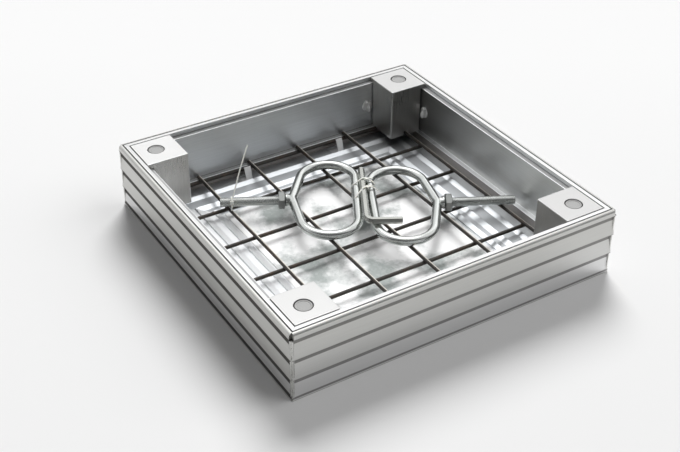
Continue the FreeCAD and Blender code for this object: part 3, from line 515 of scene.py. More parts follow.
def shared_group(tree, maker, name, inputs):
    """Place a group of nodes, which is made the first time, and give its outputs."""
    return add(tree, "Group", inputs, node_tree=bpy.data.node_groups.get(name) or maker())


def grain_in(tree, cloud, line=900.0, stretch=(1, 1, 1), cloud_stretch=(1, 1, 1)):
    """Place the drawn grain with its scales and stretches, and give its outputs."""
    return shared_group(tree, drawn_grain, "Drawn grain", {
        "Line stretch": stretch, "Line scale": line, "Cloud stretch": cloud_stretch, "Cloud scale": cloud})


def new_material(name):
    """A fresh material and its node tree."""
    material = bpy.data.materials.new(name)
    material.use_nodes = True
    return material, material.node_tree


def dressed(material, metallic, colour, rough, height, strength, depth):
    """The material with its colour, roughness and relief led into its shader."""
    tree = material.node_tree
    relief = add(tree, "Bump", {"Height": height, "Strength": strength, "Distance": depth})["Normal"]
    for name, value in (("Metallic", metallic), ("Base Color", colour), ("Roughness", rough), ("Normal", relief)):
        feed(tree, value, tree.nodes["Principled BSDF"].inputs[name])
    return material


# Paints bands of light and shade into a metal's colour, as well as dull films and tones
def painted_shading_and_soil(material, bands, colour, strength, rough, fade=None):
    """Change the colour and the gloss of a metal inside square bands, each (inner, outer, low, high) in mm.

    With fade, the soil grows along Y from none at the first place to its full strength at the second one.
    """
    tree = material.node_tree
    shader = tree.nodes["Principled BSDF"].inputs
    total = None
    for inner, outer, low, high in bands:
        band = shared_group(tree, band_mask, "Square band", {
            "Inner": inner * MM, "Outer": outer * MM, "Low": low * MM, "High": high * MM, "Soft": 0.4 * MM})["Mask"]
        total = band if total is None else maths(tree, "MAXIMUM", total, band)
    if fade:
        along = parts_of(tree, object_place(tree))["Y"]
        strength = spread(tree, along, 0.0, strength, [stop * MM for stop in fade])
    weak = maths(tree, "MULTIPLY", total, strength)
    for name, value in (("Base Color", shaded(colour)), ("Roughness", rough)):
        feed(tree, mixed(tree, weak, shader[name].links[0].from_socket, value), shader[name])


def worn_metal(name, colour, rough, cloud, lines=0.08, patch=0.08, bump=0.1, contrast=0.12, stretch=(1, 1, 1),
               cloud_stretch=(1, 1, 1)):
    """Metal with drawn lines and soft clouds in its colour, roughness and relief."""
    material, tree = new_material(name)
    grain = grain_in(tree, cloud, stretch=stretch, cloud_stretch=cloud_stretch)
    both = maths(tree, "MULTIPLY_ADD", grain["Clouds"], 0.5, maths(tree, "MULTIPLY", grain["Lines"], 0.5))
    paint = mixed(tree, spread(tree, both, 0, 1, (0.36, 0.64)), shaded(colour, 1 - contrast),
                  shaded(colour, 1 + contrast))
    gloss = maths(tree, "ADD", spread(tree, grain["Lines"], -lines, lines),
                  spread(tree, grain["Clouds"], rough - patch, rough + patch), use_clamp=True)
    return dressed(material, 1.0, paint, gloss, grain["Lines"], bump, 0.03 * MM)


def plain_finish(name, colour, rough, scale, contrast, bump, metallic=0.0):
    """Moulded plastic, rubber or bright plating with a fine uneven skin."""
    material, tree = new_material(name)
    skin = noise(tree, object_place(tree), scale, 4.0, 0.6)
    paint = mixed(tree, spread(tree, skin, 0, 1), shaded(colour, 1 - contrast), shaded(colour, 1 + contrast))
    return dressed(material, metallic, paint, spread(tree, skin, rough - 0.07, rough + 0.07), skin, bump, 0.1 * MM)


def bar_finish():
    """Drawn wire: dark scale with patches of rust, and a painted highlight along one upper side."""
    colours = bpy.context.scene.cover_finishes
    material, tree = new_material("Mesh wire")
    grain = grain_in(tree, 60.0)
    scale = mixed(tree, spread(tree, grain["Clouds"], 0, 1, (0.5, 0.75)), shaded(colours.bar_metal),
                  shaded(colours.rust))
    # Painted highlight on the side of each bar that faces up and to the right
    upper = toward(tree, add(tree, "NewGeometry")["True Normal"], (0.55, 0.12, 0.83))
    paint = mixed(tree, spread(tree, upper, 0, 1, (0.86, 0.93)), scale, shaded(colours.painted_bar_highlight))
    return dressed(material, 0.25, paint, spread(tree, grain["Specks"], 0.3, 0.5), grain["Specks"], 0.35, 0.2 * MM)


def galvanised_finish():
    """Zinc-coated sheet: bright, with frosty spangle and cloudy grey patches in colour and gloss."""
    colours = bpy.context.scene.cover_finishes
    material, tree = new_material("Galvanised sheet")
    grain = grain_in(tree, 16.0, 55.0)
    spangle = add(tree, "TexVoronoi", {"Vector": object_place(tree), "Scale": 330.0})
    grey = maths(tree, "MULTIPLY_ADD", spangle["Color"], 0.22, spread(tree, grain["Clouds"], 0, 1, (0.385, 0.575)))
    paint = mixed(tree, spread(tree, grey, 0, 1, (0.1, 0.9)), shaded(colours.sheet_patch),
                  shaded(colours.sheet_metal, 1.14))
    return dressed(material, 0.75, paint, spread(tree, grain["Lines"], 0.42, 0.58), spangle["Distance"], 0.12,
                   0.04 * MM)


def frame_finish(side):
    """The frame's aluminium: painted light on its paler lower bands, and painted shade under each lip."""
    f, colours = bpy.context.scene.cover_frame, bpy.context.scene.cover_finishes
    along_x = side in ("back", "front")
    made = worn_metal(f"Frame aluminium along {'x' if along_x else 'y'}", colours.frame_metal, 0.42, 9.0, 0.03, 0.04,
                      0.04, 0.05, LINES_X if along_x else LINES_Y, (0.25, 1, 1.6) if along_x else (1, 0.25, 1.6))
    face = (HALF - 6, HALF + 1)
    levels = [TOP - f.bead - k * f.lip_pitch for k in range(3)]
    # Painted light: the bottom band is made paler, and on the front and back rails the two lower bands a little too
    if along_x:
        painted_shading_and_soil(made, [(*face, 1.0, levels[1])], colours.painted_bounce_light, 0.22, 0.42)
    painted_shading_and_soil(made, [(*face, 1.0, levels[2])], colours.painted_bounce_light, 0.62, 0.42)
    # Painted shade: a dark band under each lip and one near the bottom edge, darker on the left and right rails
    depth, strength = (f.painted_shade_front, 0.60) if along_x else (f.painted_shade_side, 0.92)
    bands = [(*face, level - depth, level + f.painted_shade_on_lip) for level in levels] + [(*face, 2.2, 0.85 * depth)]
    painted_shading_and_soil(made, bands, colours.painted_shading_and_soil, strength, 0.6)
    return made


def tray_finish(side):
    """The tray's aluminium with painted light and shade and its films: painted shade and reflection on the foot,
    painted shade in the ledge's corner, a dull floor, and more painted shade on some rails.
    """
    colours = bpy.context.scene.cover_finishes
    at = tray_levels()
    along_x = side in ("back", "front")
    name = {"left": "along y", "front": "along x"}.get(side, f"of the {side}")
    made = worn_metal(f"Tray aluminium {name}", colours.tray_metal, 0.36, 13.0, 0.01, 0.03, 0.01, 0.07,
                      LINES_X if along_x else LINES_Y, (1, 1, 0.12))
    # Each band reaches a little past the surface that it colours
    # Painted shade and reflection of the mesh bars on the foot
    foot = (at.foot - 0.6, at.foot + 0.25, at.floor - 0.5, at.foot_top - 0.7)
    # Painted shade in the corner at the ledge's root
    ledge = (at.rim - 0.77 * (at.top - at.ledge) - 1.3, at.rim + 0.2, at.ledge - 0.5, at.ledge + 0.8)
    rim = (at.rim - 0.3, at.half + 0.3, at.top - 1.2, at.top + 0.5)
    floor = (at.foot - 72.0, at.foot - 0.6, at.floor - 1.6, at.floor + 3.2)
    wall = (at.wall - 0.6, at.wall + 0.3, at.foot_top + 0.5, at.ledge - 0.5)
    shades_and_films = [(foot, colours.painted_foot_reflection, 0.75, 0.45), (ledge, colours.painted_shading_and_soil, 0.6, 0.6), (rim, colours.plate_metal, 0.75, 0.4)]
    if side in ("left", "front"):
        shades_and_films.append((floor, colours.floor_film, 0.85, 0.66))
    else:
        # Painted shade on the back and right rails' floor
        shades_and_films.append((floor, colours.painted_ridge_shade, 0.6, 0.45))
    # Painted shade: the right wall is darker, and darker still towards its back end
    if side == "right":
        shades_and_films += [(wall, colours.painted_wall_shade, 0.36, 0.42), (wall, colours.painted_corner_shade, 0.62, 0.42, (-85.0, 155.0))]
    # Painted shade on the top of the back rail's foot
    if side == "back":
        foot_top = (at.foot + 0.6, at.wall + 0.3, at.foot_top - 0.3, at.foot_top + 0.8)
        shades_and_films.append((foot_top, colours.foot_shade, 0.85, 0.5))
    # Each entry is a band with the colour, strength, roughness and fade painted into it; most are painted shade
    for band, *film in shades_and_films:
        painted_shading_and_soil(made, [band], *film)
    return made


# Pieces

def rail_ends(outline, side_ends, step):
    """A section carried along a rail: each of its points runs out to its own end at the mitre."""
    rings = np.array([np.column_stack([sign * side_ends, outline]) for sign in (-1, 1)])
    return turned(lofted(rings), step)


class COVER_OT_frame_rails(bpy.types.Operator):
    """Ribbed frame rails: the section is carried along each side and mitred at the corners"""
    bl_idname = "cover.frame_rails"
    bl_label = "Frame rails"

    def execute(self, context):
        s = context.scene.cover_frame
        recess, clear, wall, seam = HALF - s.lip_relief, HALF - s.seat, HALF - s.wall, 0.04
        corners, radii = [(clear, 0), (HALF, 0), (HALF, s.lip_edge)], [0.2, 0.2, s.edge_round]
        for lip in (2, 1, 0):
            level = TOP - s.bead - lip * s.lip_pitch
            below = level - s.lip_pitch if lip < 2 else 0.0
            corners += [(recess, below + s.lip_edge + s.lip_bevel), (recess, level - s.lip_under), (HALF, level)]
            radii += [1.5, 0.3, 0.55]
            if lip:
                corners.append((HALF, level + s.lip_edge))
                radii.append(s.edge_round)
        corners += [(HALF, TOP), (wall, TOP), (wall, s.seat_thickness), (clear, s.seat_thickness)]
        radii += [s.bead_round, 0.3, 0.4, 0.3]
        outline = rounded_outline(corners, radii, 4)
        on_lip = (outline[:, 0] > HALF - 0.7) & (outline[:, 1] < TOP - s.bead + 0.3)
        ends = np.where(on_lip, HALF - s.lip_notch, np.minimum(outline[:, 0], HALF - s.weld_notch)) - seam
        finishes = {side: frame_finish(side) for side in ("left", "front")}
        for step, side in enumerate(SIDES):
            add_piece(f"cover_frame_{side}", rail_ends(outline, ends, step), finishes[OPPOSITE.get(side, side)],
                      [f"frame_rail_{side}"])
        return {"FINISHED"}


class COVER_OT_weld_beads(bpy.types.Operator):
    """Corner welds: two round beads side by side up each corner over a core, rippled along their length"""
    bl_idname = "cover.weld_beads"
    bl_label = "Corner weld beads"

    def execute(self, context):
        corner = node_box("frame_corner_welds")[1][0]
        random = np.random.default_rng(context.scene.cover_stage.seed)
        levels = np.linspace(0.1, TOP - context.scene.cover_frame.bead - 0.4, 150)
        solids = []
        for step in range(4):
            # Place across the corner, radius and depth of the two beads and of the core between them
            for aside, radius, inset in ((0.55, 1.25, 1.35), (3.0, 1.15, 1.35), (1.75, 1.5, 2.2)):
                phase = random.uniform(0, 6.3)
                drift = 0.22 * np.sin(levels / 9.0 + phase) + 0.12 * np.sin(levels / 3.1 + 2 * phase)
                size = radius * (1 + 0.09 * np.sin(levels * 2 * math.pi / 1.9 + phase)
                                 + 0.08 * np.sin(levels / 5.0 + phase))
                size[[0, -1]] *= 0.55
                across = (aside - 1.75) * 0.72 + drift
                rings = rod_rings(levels, size[:, None], full_turn(14))[..., UPRIGHT]
                rings[..., 0] += (corner - inset + across)[:, None]
                rings[..., 1] += (corner - inset - across)[:, None]
                rings[..., :2] = np.minimum(rings[..., :2], corner + 0.55)
                solids.append(turned(lofted(rings), step))
        finish = worn_metal("Weld metal", (0.62, 0.62, 0.60), 0.26, 60.0, 0.05, 0.08, 0.2)
        add_piece("cover_corner_welds", gathered(solids), finish, ["frame_corner_welds"], 60)
        return {"FINISHED"}


def tray_levels():
    """Distances from the centre and levels that the tray's section is drawn through."""
    t = bpy.context.scene.cover_tray
    low, high = node_box("tray_rail_right")
    at = SimpleNamespace(half=high[0], base=low[2], top=high[2], rim=high[0] - t.rim)
    at.wall = at.rim - t.ledge
    at.foot = at.wall - t.foot
    at.floor = at.base + t.floor
    at.foot_top = at.floor + t.foot_rise
    at.ledge = at.top - t.rim_drop
    at.tongue = at.foot - FLAT + 0.8
    return at


def tray_outline():
    """Section of the tray rail with rounded edges; the floor has three ridges that slope to the tray's middle."""
    at = tray_levels()
    corners = [(at.half, at.base), (at.half, at.top), (at.rim, at.top), (at.rim, at.ledge), (at.wall, at.ledge),
               (at.wall, at.foot_top), (at.foot, at.foot_top), (at.foot, at.floor)]
    radii = [0.3, 0.5, 0.5, 0.35, 0.6, 0.8, 0.7, 0.4]
    inner, ridge = at.foot, at.floor + bpy.context.scene.cover_tray.ridge_height
    for gap, width in ((FLAT, 8.0), (17.0, 9.0), (8.0, 8.0)):
        inner -= gap
        corners += [(inner, at.floor), (inner - 0.7, ridge), (inner - width, at.floor)]
        radii += [0.1, 0.4, 0.6]
        inner -= width
    corners += [(inner, at.floor - 1.0), (inner - 12.0, at.floor - 1.0), (inner - 12.0, at.base)]
    return rounded_outline(corners, radii + [0.15] * 3, 3)


def with_point(outline, across, level):
    """Add a point to the outline on the level run that it lies on."""
    following = np.roll(outline, -1, axis=0)
    on_run = ((np.abs(outline[:, 1] - level) < 1e-3) & (np.abs(following[:, 1] - level) < 1e-3)
              & ((outline[:, 0] - across) * (following[:, 0] - across) < 0))
    return np.insert(outline, int(np.flatnonzero(on_run)[0]) + 1, (across, level), axis=0)


class COVER_OT_tray_rails(bpy.types.Operator):
    """Tray rails: the section is carried along each side; the punched slots leave out the floor's faces"""
    bl_idname = "cover.tray_rails"
    bl_label = "Tray rails"

    def execute(self, context):
        t, at = context.scene.cover_tray, tray_levels()
        plain = tray_outline()
        near = at.tongue + t.tongue_thickness
        far = near + t.slot_width
        slot = ((far, at.floor), (near, at.floor), (near, at.base), (far, at.base))
        slotted = plain
        for across, level in slot:
            slotted = with_point(slotted, across, level)
        for step, side in enumerate(SIDES):
            if side in ("left", "right"):
                solid = rail_ends(plain, plain[:, 0] - t.mitre_gap, step)
            else:
                solid = turned(self.slotted_rail(t, slotted, slot), step)
            add_piece(f"cover_tray_{side}", solid, tray_finish(side), [f"tray_rail_{side}"])
        return {"FINISHED"}

    def slotted_rail(self, t, outline, slot):
        """Rings at the mitres and at both ends of each slot; walls close each slot between its four corners."""
        middles = [t.tongue_first - 3.0 + k * t.tongue_pitch for k in (0, 1)]
        places = [m + e * t.slot_length / 2 for m in middles for e in (-1, 1)]
        ends = outline[:, 0] - t.mitre_gap
        columns = [-ends] + [np.full(len(outline), p) for p in places] + [ends]
        points, faces = lofted(np.stack([np.column_stack([x, outline]) for x in columns]))
        count = len(outline)
        top_far, top_near, low_near, low_far = (int(np.argmin(np.abs(outline - corner).sum(axis=1)))
                                                for corner in slot)
        kept = [face for face in faces if not (len(face) == 4 and face[0] // count in (1, 3)
                                               and face[0] % count in (top_far, low_near))]
        for first in (1, 3):
            a, b = first * count, (first + 1) * count
            kept += [[a + top_far, a + low_far, b + low_far, b + top_far],
                     [a + top_near, b + top_near, b + low_near, a + low_near],
                     [a + top_far, a + top_near, a + low_near, a + low_far],
                     [b + top_far, b + low_far, b + low_near, b + top_near]]
        return points, kept


class COVER_OT_anchor_tongues(bpy.types.Operator):
    """Punched tongues: a strip that bends up out of the floor by a quarter turn and leans back at its tip"""
    bl_idname = "cover.anchor_tongues"
    bl_label = "Anchor tongues"

    def execute(self, context):
        t, at = context.scene.cover_tray, tray_levels()
        near, middle = at.tongue, at.floor - t.floor / 2
        side_view = rounded_outline([(near - 4.0, middle), (near + 0.2, middle), (near + 5.4, at.floor + 15.0),
                                     (near + 7.0, at.floor + 17.5)], (0, 2.2, 4.0, 0), 6, closed=False)
        solids = []
        for step in (0, 2):
            for count in (0, 1):
                place = np.full(len(side_view), t.tongue_first + count * t.tongue_pitch)
                tongue = strap_along(np.column_stack([place, side_view]), t.tongue_width, t.tongue_thickness,
                                     (0.0, -0.6, 0.8))
                solids.append(turned(tongue, step))
        # Painted light: the tongues are near white and barely metallic, so that they read bright in the walls' shade
        finish = plain_finish("Punched edge aluminium", (0.97, 0.97, 0.97), 0.35, 300.0, 0.02, 0.05, metallic=0.1)
        add_piece("cover_anchor_tongues", gathered(solids), finish, ())
        return {"FINISHED"}


class COVER_OT_floor_sheet(bpy.types.Operator):
    """Floor sheet: a square grid whose level waves slowly, as the sum of a few crossed sine waves"""
    bl_idname = "cover.floor_sheet"
    bl_label = "Floor sheet"

    def execute(self, context):
        low, high = node_box("tray_floor_sheet")
        count = 72
        x, y = np.meshgrid(*[np.linspace(low[0], high[0], count)] * 2)
        random = np.random.default_rng(context.scene.cover_stage.seed)
        level = np.zeros_like(x)
        for _ in range(9):
            stretch, angle = random.uniform(45, 130), random.uniform(0, math.pi)
            level += np.sin((x * math.cos(angle) + y * math.sin(angle)) * 2 * math.pi / stretch
                            + random.uniform(0, 6.3)) * stretch / 130
        level *= context.scene.cover_tray.sheet_wave / np.abs(level).max()
        edge = np.minimum(np.minimum(x - low[0], high[0] - x), np.minimum(y - low[1], high[1] - y))
        level *= np.clip(edge / 15.0, 0, 1)
        upper = np.stack([x, y, high[2] - 0.05 + level], axis=-1).reshape(-1, 3)
        lower = np.stack([x, y, np.full_like(x, low[2])], axis=-1).reshape(-1, 3)
        faces = grid_faces(count, count, False, False)
        total = count * count
        line = np.arange(count)
        rim = np.concatenate([line, line[1:] * count + count - 1, total - 1 - line[1:],
                              (count - 1 - line[1:-1]) * count])
        after = np.roll(rim, -1)
        walls = np.stack([rim, after, after + total, rim + total], axis=-1)
        all_faces = np.concatenate([faces, faces[:, ::-1] + total, walls]).tolist()
        add_piece("cover_floor_sheet", (np.concatenate([upper, lower]), all_faces), galvanised_finish(),
                  ["tray_floor_sheet"])
        return {"FINISHED"}


def plate_with_bore(low, high, centre, radius, base, top, edge):
    """A square plate with a round bore: rings that run from the bore over the top and down the sides."""
    count = 160
    turn = full_turn(count) + math.pi / 4
    round_line = np.stack([np.cos(turn), np.sin(turn)], axis=-1)
    span = np.where(round_line > 0, high - centre, centre - low)

    def square(inset):
        """Where each direction from the bore meets the plate's edge, drawn in by an inset."""
        reach = np.min((span - inset) / np.maximum(np.abs(round_line), 1e-9), axis=1)
        return round_line * reach[:, None]

    rows = [(round_line * radius, base), (round_line * radius, top - 0.25), (round_line * (radius + 0.25), top),
            (round_line * (radius + 2.0), top), (square(edge + 0.8), top), (square(edge), top),
            (square(edge * 0.3), top - edge * 0.3), (square(0), top - edge), (square(0), base + 0.3),
            (square(0.3), base)]
    rings = np.stack([np.column_stack([ring + centre, np.full(count, level)]) for ring, level in rows])
    return lofted(rings, closed=True)


class COVER_OT_corner_boxes(bpy.types.Operator):
    """Corner boxes: a plate with a bore, and a folded sheet under it whose foot is notched round the mesh bars"""
    bl_idname = "cover.corner_boxes"
    bl_label = "Corner boxes"

    def execute(self, context):
        t, colours, at = context.scene.cover_tray, context.scene.cover_finishes, tray_levels()
        bore, wall_gap = 10.8, 1.9  # radius of the cap's hole, and the dark gap between the sides and the wall
        # Painted light and shade: the plates and sides are lit and shaded copies of one aluminium
        # Factors on the colour of each corner's plate and sides, set to match the photograph's shading
        shades = {"back_right": (0.95, 0.52), "back_left": (1.15, 0.80), "front_left": (0.95, 1.0),
                  "front_right": (0.87, 0.30)}
        for step, (corner, (plate_shade, side_shade)) in enumerate(shades.items()):
            low, high = np.sort(np.abs(node_box(f"corner_box_{corner}")), axis=0)[:, 0]
            plate = plate_with_bore(low, high - t.plate_gap, abs(node_middle(f"corner_cap_{corner}")[0]), bore,
                                    at.ledge, at.top, t.plate_round)
            finish = worn_metal(f"Corner plate aluminium, {corner}", shaded(colours.plate_metal, plate_shade), 0.40,
                                16.0, 0.03, 0.06, 0.08, 0.05)
            add_piece(f"cover_plate_{corner}", turned(plate, step), finish, [f"corner_box_{corner}"])
            sides = self.folded_sides(low - 0.25, at.wall - wall_gap, (at.rim - 0.3, at.ledge + 0.1), at.foot_top,
                                      at.top - 1.3, step)
            finish = worn_metal(f"Box aluminium, {corner}", shaded(colours.box_metal, side_shade), 0.34, 10.0, 0.05,
                                0.08, 0.10, 0.10, (1, 1, 0.05))
            add_piece(f"cover_box_sides_{corner}", turned(sides, step), finish, ())
        return {"FINISHED"}

    def folded_sides(self, inner, reach, seat, base, height, step):
        """Two walls in an L with a round fold; the foot's level steps up over the ledge and where a bar passes."""
        thick, fold, notch = 2.0, 2.4, 3.6
        walls = []
        for side in (0, 1):
            kind, axis = ("y", 0) if (side + step) % 2 == 0 else ("x", 1)
            middles = [node_middle(f"mesh_bar_{kind}_{count}") for count in BARS]
            stops = [(CORNER_SIGNS[step][axis] * middle[axis], middle[2] + notch) for middle in middles]
            run = [seat, (reach + 0.02, seat[1]), (reach + 0.01, base)]
            for place, level in sorted(stops, reverse=True):
                if place > inner:
                    run += [(min(place + notch, reach), base), (min(place + notch - 0.05, reach - 0.02), level),
                            (place - notch + 0.05, level), (place - notch, base)]
            walls.append(np.array(run + [(inner + fold, base)]))
        down, up = walls[0], walls[1][::-1]
        angle = -math.pi / 2 - np.arange(1, 8) * math.pi / 16
        arc = np.stack([np.cos(angle), np.sin(angle)], axis=-1)

        def line(depth):
            """The folded sheet in the ground plan, at a depth from its outer side."""
            return np.concatenate([np.column_stack([down[:, 0], np.full(len(down), inner + depth)]),
                                   inner + fold + (fold - depth) * arc,
                                   np.column_stack([np.full(len(up), inner + depth), up[:, 0]])])

        levels = np.concatenate([down[:, 1], np.full(len(arc), base), up[:, 1]])
        full = np.full(len(levels), height)
        return lofted(np.stack([np.column_stack([line(depth), edge]) for depth, edge in
                                ((0.0, levels), (0.0, full), (thick, full), (thick, levels))], axis=1))


class COVER_OT_corner_caps(bpy.types.Operator):
    """Caps: a turned profile with a raised rim, a dished middle and two fine rings"""
    bl_idname = "cover.corner_caps"
    bl_label = "Corner caps"

    def execute(self, context):
        finish = plain_finish("Grey cap plastic", context.scene.cover_finishes.cap, 0.42, 700.0, 0.04, 0.2)
        for corner in CORNERS:
            low, high = node_box(f"corner_cap_{corner}")
            r, top, base = (high[0] - low[0]) / 2 - 1.15, high[2], low[2]
            profile = [(0, top - 0.5), (2.0, top - 0.5), (r - 4.2, top - 0.52), (r - 3.9, top - 0.40),
                       (r - 3.6, top - 0.52), (r - 2.1, top - 0.55), (r - 1.7, top - 0.1), (r - 1.4, top),
                       (r - 0.55, top), (r - 0.25, top - 0.12), (r, top - 0.45), (r, base), (0, base)]
            points, faces = revolved(profile, 64)
            add_piece(f"cover_cap_{corner}", (points + (low + high) / 2 * (1, 1, 0), faces), finish,
                      [f"corner_cap_{corner}"])
        return {"FINISHED"}


class COVER_OT_box_screws(bpy.types.Operator):
    """Fixings beside the boxes: turned domes on thin discs, each with a small nib above it"""
    bl_idname = "cover.box_screws"
    bl_label = "Box screws"

    def execute(self, context):
        low, high = node_box("box_screw_washers")
        radius = (high[2] - low[2]) / 2
        middle = (node_box("corner_box_back_right")[0][0] - 8.5, tray_levels().wall, (low[2] + high[2]) / 2)
        dome = [(0, 4.4), (1.2, 4.2), (2.4, 3.6), (3.3, 2.7), (3.8, 1.8), (4.0, 1.2), (4.0, 0.0), (0, 0.0)]
        disc = [(0, 1.2), (4.2, 1.25), (radius - 1.2, 1.0), (radius - 0.3, 0.75), (radius, 0.35), (radius, 0.0),
                (0, 0.0)]
        nib = [(0, 4.3), (0.8, 4.1), (1.5, 3.4), (1.9, 2.4), (2.1, 1.2), (2.2, 0.0), (0, 0.0)]
        solids = []
        for step in range(4):
            for order in ([0, 1, 2], [1, 0, 2]):
                for profile, aside, wide, tall in ((dome, (2.6, 0, -4.0), 0.62, 1.5), (disc, (0, 0, 0), 1.0, 1.0),
                                                   (nib, (-1.6, 0, 6.6), 1.0, 1.0)):
                    points, faces = revolved(profile, 28)
                    points = points[:, [0, 2, 1]] * (wide, -1.0, tall) + middle + aside
                    solids.append(turned((points[:, order], faces), step))
        finish = plain_finish("Bright fixing zinc", (0.97, 0.97, 0.95), 0.17, 300.0, 0.05, 0.1, metallic=0.45)
        add_piece("cover_box_screws", gathered(solids), finish, ["box_screws", "box_screw_washers"], 50)
        return {"FINISHED"}


class COVER_OT_mesh_bars(bpy.types.Operator):
    """Mesh bars: round wires that wander a little off their line, with a small weld at each crossing"""
    bl_idname = "cover.mesh_bars"
    bl_label = "Reinforcing mesh"

    def execute(self, context):
        finish = bar_finish()
        random = np.random.default_rng(context.scene.cover_stage.seed)
        for kind, axis, order in (("x", 0, [0, 1, 2]), ("y", 1, [1, 0, 2])):
            for count in BARS:
                name = f"mesh_bar_{kind}_{count}"
                low, high = node_box(name)
                first, last, middle, radius = low[axis], high[axis], (low + high) / 2, (high[2] - low[2]) / 2
                along = np.concatenate([[first, first, first + 0.5], np.linspace(first + 4, last - 4, 90),
                                        [last - 0.5, last, last]])
                size = np.full(len(along), radius)
                size[[0, -1]] = 0.4
                size[[1, -2]] = radius * 0.82
                drift = 0.28 * np.sin(along / random.uniform(28, 50) + random.uniform(0, 6.3))
                rings = rod_rings(along, size[:, None], full_turn(16))
                rings[..., 1] += (middle[1 - axis] + drift)[:, None]
                rings[..., 2] += middle[2]
                solids = [lofted(rings[..., order])]
                if kind == "x":
                    solids += self.crossing_welds(low, high, random)
                add_piece(f"cover_{name}", gathered(solids), finish, [name], 50)
        return {"FINISHED"}

    def crossing_welds(self, bar_low, bar_high, random):
        """Small flattened balls where the bars of the two directions touch."""
        bead = [(0, 1.1), (1.4, 0.95), (2.3, 0.5), (2.7, 0.0), (2.3, -0.5), (1.4, -0.95), (0, -1.1)]
        welds = []
        for other in BARS:
            low, high = node_box(f"mesh_bar_y_{other}")
            place = (low[0] + high[0]) / 2
            if bar_low[0] + 3 < place < bar_high[0] - 3:
                points, faces = revolved(bead, 12)
                scale = random.uniform(0.85, 1.15, 3)
                welds.append((points * scale + (place, (bar_low[1] + bar_high[1]) / 2, low[2]), faces))
        return welds


def handle_matrix(side):
    """Frame of a lying handle: origin at the nut, X towards the far bar of the ring."""
    turn = bpy.context.scene.cover_handle.turn + (180.0 if side == "right" else 0.0)
    return Matrix.Translation(Vector(node_middle(f"handle_nut_{side}"))) @ Matrix.Rotation(math.radians(turn), 4, "Z")


def ring_matrix(side):
    """Frame of a ring: its handle's, with the left ring turned a little on its shank."""
    h = bpy.context.scene.cover_handle
    pivot = Matrix.Translation((h.skew_pivot, 0, 0))
    skew = Matrix.Rotation(math.radians(-h.left_skew if side == "left" else 0.0), 4, "Z")
    return handle_matrix(side) @ pivot @ skew @ pivot.inverted()


def key_matrix():
    """The key's bend lies on the far bars, its long arm drops between them and crosses their middle."""
    h = bpy.context.scene.cover_handle
    turn = math.radians(h.turn)
    left, right = node_middle("handle_nut_left"), node_middle("handle_nut_right")
    middle = (left + right) / 2
    across = middle[0] * math.cos(turn) + middle[1] * math.sin(turn) - h.key_aside
    along = right[1] * math.cos(turn) - right[0] * math.sin(turn) - h.key_start
    x = across * math.cos(turn) - along * math.sin(turn)
    y = across * math.sin(turn) + along * math.cos(turn)
    level = right[2] + h.rod / 2 + 0.2 + h.key / 2
    drop = math.asin(h.key_drop / h.key_length)
    skew = math.atan(h.key_aside / h.key_cross)
    return (Matrix.Translation(Vector((x, y, level))) @ Matrix.Rotation(turn - skew, 4, "Z")
            @ Matrix.Rotation(-drop, 4, "X"))


class COVER_OT_handle_rings(bpy.types.Operator):
    """Handle rings: a round rod carried along two shoulders, a neck and a straight far bar"""
    bl_idname = "cover.handle_rings"
    bl_label = "Handle rings"

    def execute(self, context):
        h = context.scene.cover_handle
        finish = worn_metal("Handle zinc", context.scene.cover_finishes.handle_metal, 0.15, 26.0, 0.02, 0.05, 0.05,
                            0.10)
        shoulder = h.neck + h.half_width * math.tan(math.radians(h.lean))
        corners = [(h.depth, -h.half_width), (h.depth, h.half_width), (shoulder, h.half_width), (h.neck, 0.0),
                   (shoulder, -h.half_width)]
        bends = (35, 35, 37, 20, 37)
        path = steps_between(rounded_outline(corners, bends, 24), 2.5)
        ring = flat_path_loft(path, circle(h.rod / 2, 32), True)
        for side, seed in (("left", 3), ("right", 5)):
            solids = [placed(ring, ring_matrix(side)), placed(self.neck_weld(seed), handle_matrix(side))]
            add_piece(f"cover_ring_{side}", gathered(solids), finish, [f"handle_ring_{side}"], 70)
        return {"FINISHED"}

    def neck_weld(self, seed):
        """Lumpy weld round the joint: its radius falls from the nut to the rod with random ripples."""
        count = 36
        along = np.array([4.1, 5.0, 5.9, 7.0, 8.1, 9.2, 10.3, 11.5, 12.7, 13.4])
        radius = np.array([6.8, 7.8, 8.2, 7.9, 7.4, 7.1, 6.8, 6.3, 5.2, 3.0])
        lumps = np.stack([uneven(count, seed + k // 3, 0.28) for k in range(len(along))])
        return lofted(rod_rings(along, radius[:, None] + lumps, full_turn(count)))


class COVER_OT_handle_nuts(bpy.types.Operator):
    """Handle nuts: a hexagon's radius, limited near each face by the cone of the chamfer"""
    bl_idname = "cover.handle_nuts"
    bl_label = "Handle nuts"

    def execute(self, context):
        h = context.scene.cover_handle
        finish = worn_metal("Nut zinc", shaded(context.scene.cover_finishes.handle_metal, 0.50), 0.34, 60.0, 0.04,
                            0.08, 0.15, 0.16)
        low, high = node_box("handle_nut_left")
        end = h.nut_length / 2
        turn = full_turn(96)
        hexagon = (high[2] - low[2]) / 2 / np.cos((turn + math.pi / 6) % (math.pi / 3) - math.pi / 6)
        steps = np.array([0, 0.15, 0.4, 0.7, 1.0, 1.4, 2.0])
        along = np.concatenate([-end + steps, end - steps[::-1], [end, -end]])
        inward = np.concatenate([steps, steps[::-1]])
        cone = h.nut_face / 2 + inward * math.tan(math.radians(60))
        bore = np.full((2, len(turn)), h.shank / 2 + 0.05)
        size = np.concatenate([np.minimum(hexagon[None, :], cone[:, None]), bore])
        nut = lofted(rod_rings(along, size, turn), closed=True)
        for side in HANDS:
            add_piece(f"cover_nut_{side}", placed(nut, handle_matrix(side)), finish, [f"handle_nut_{side}"],
                      25)
        return {"FINISHED"}


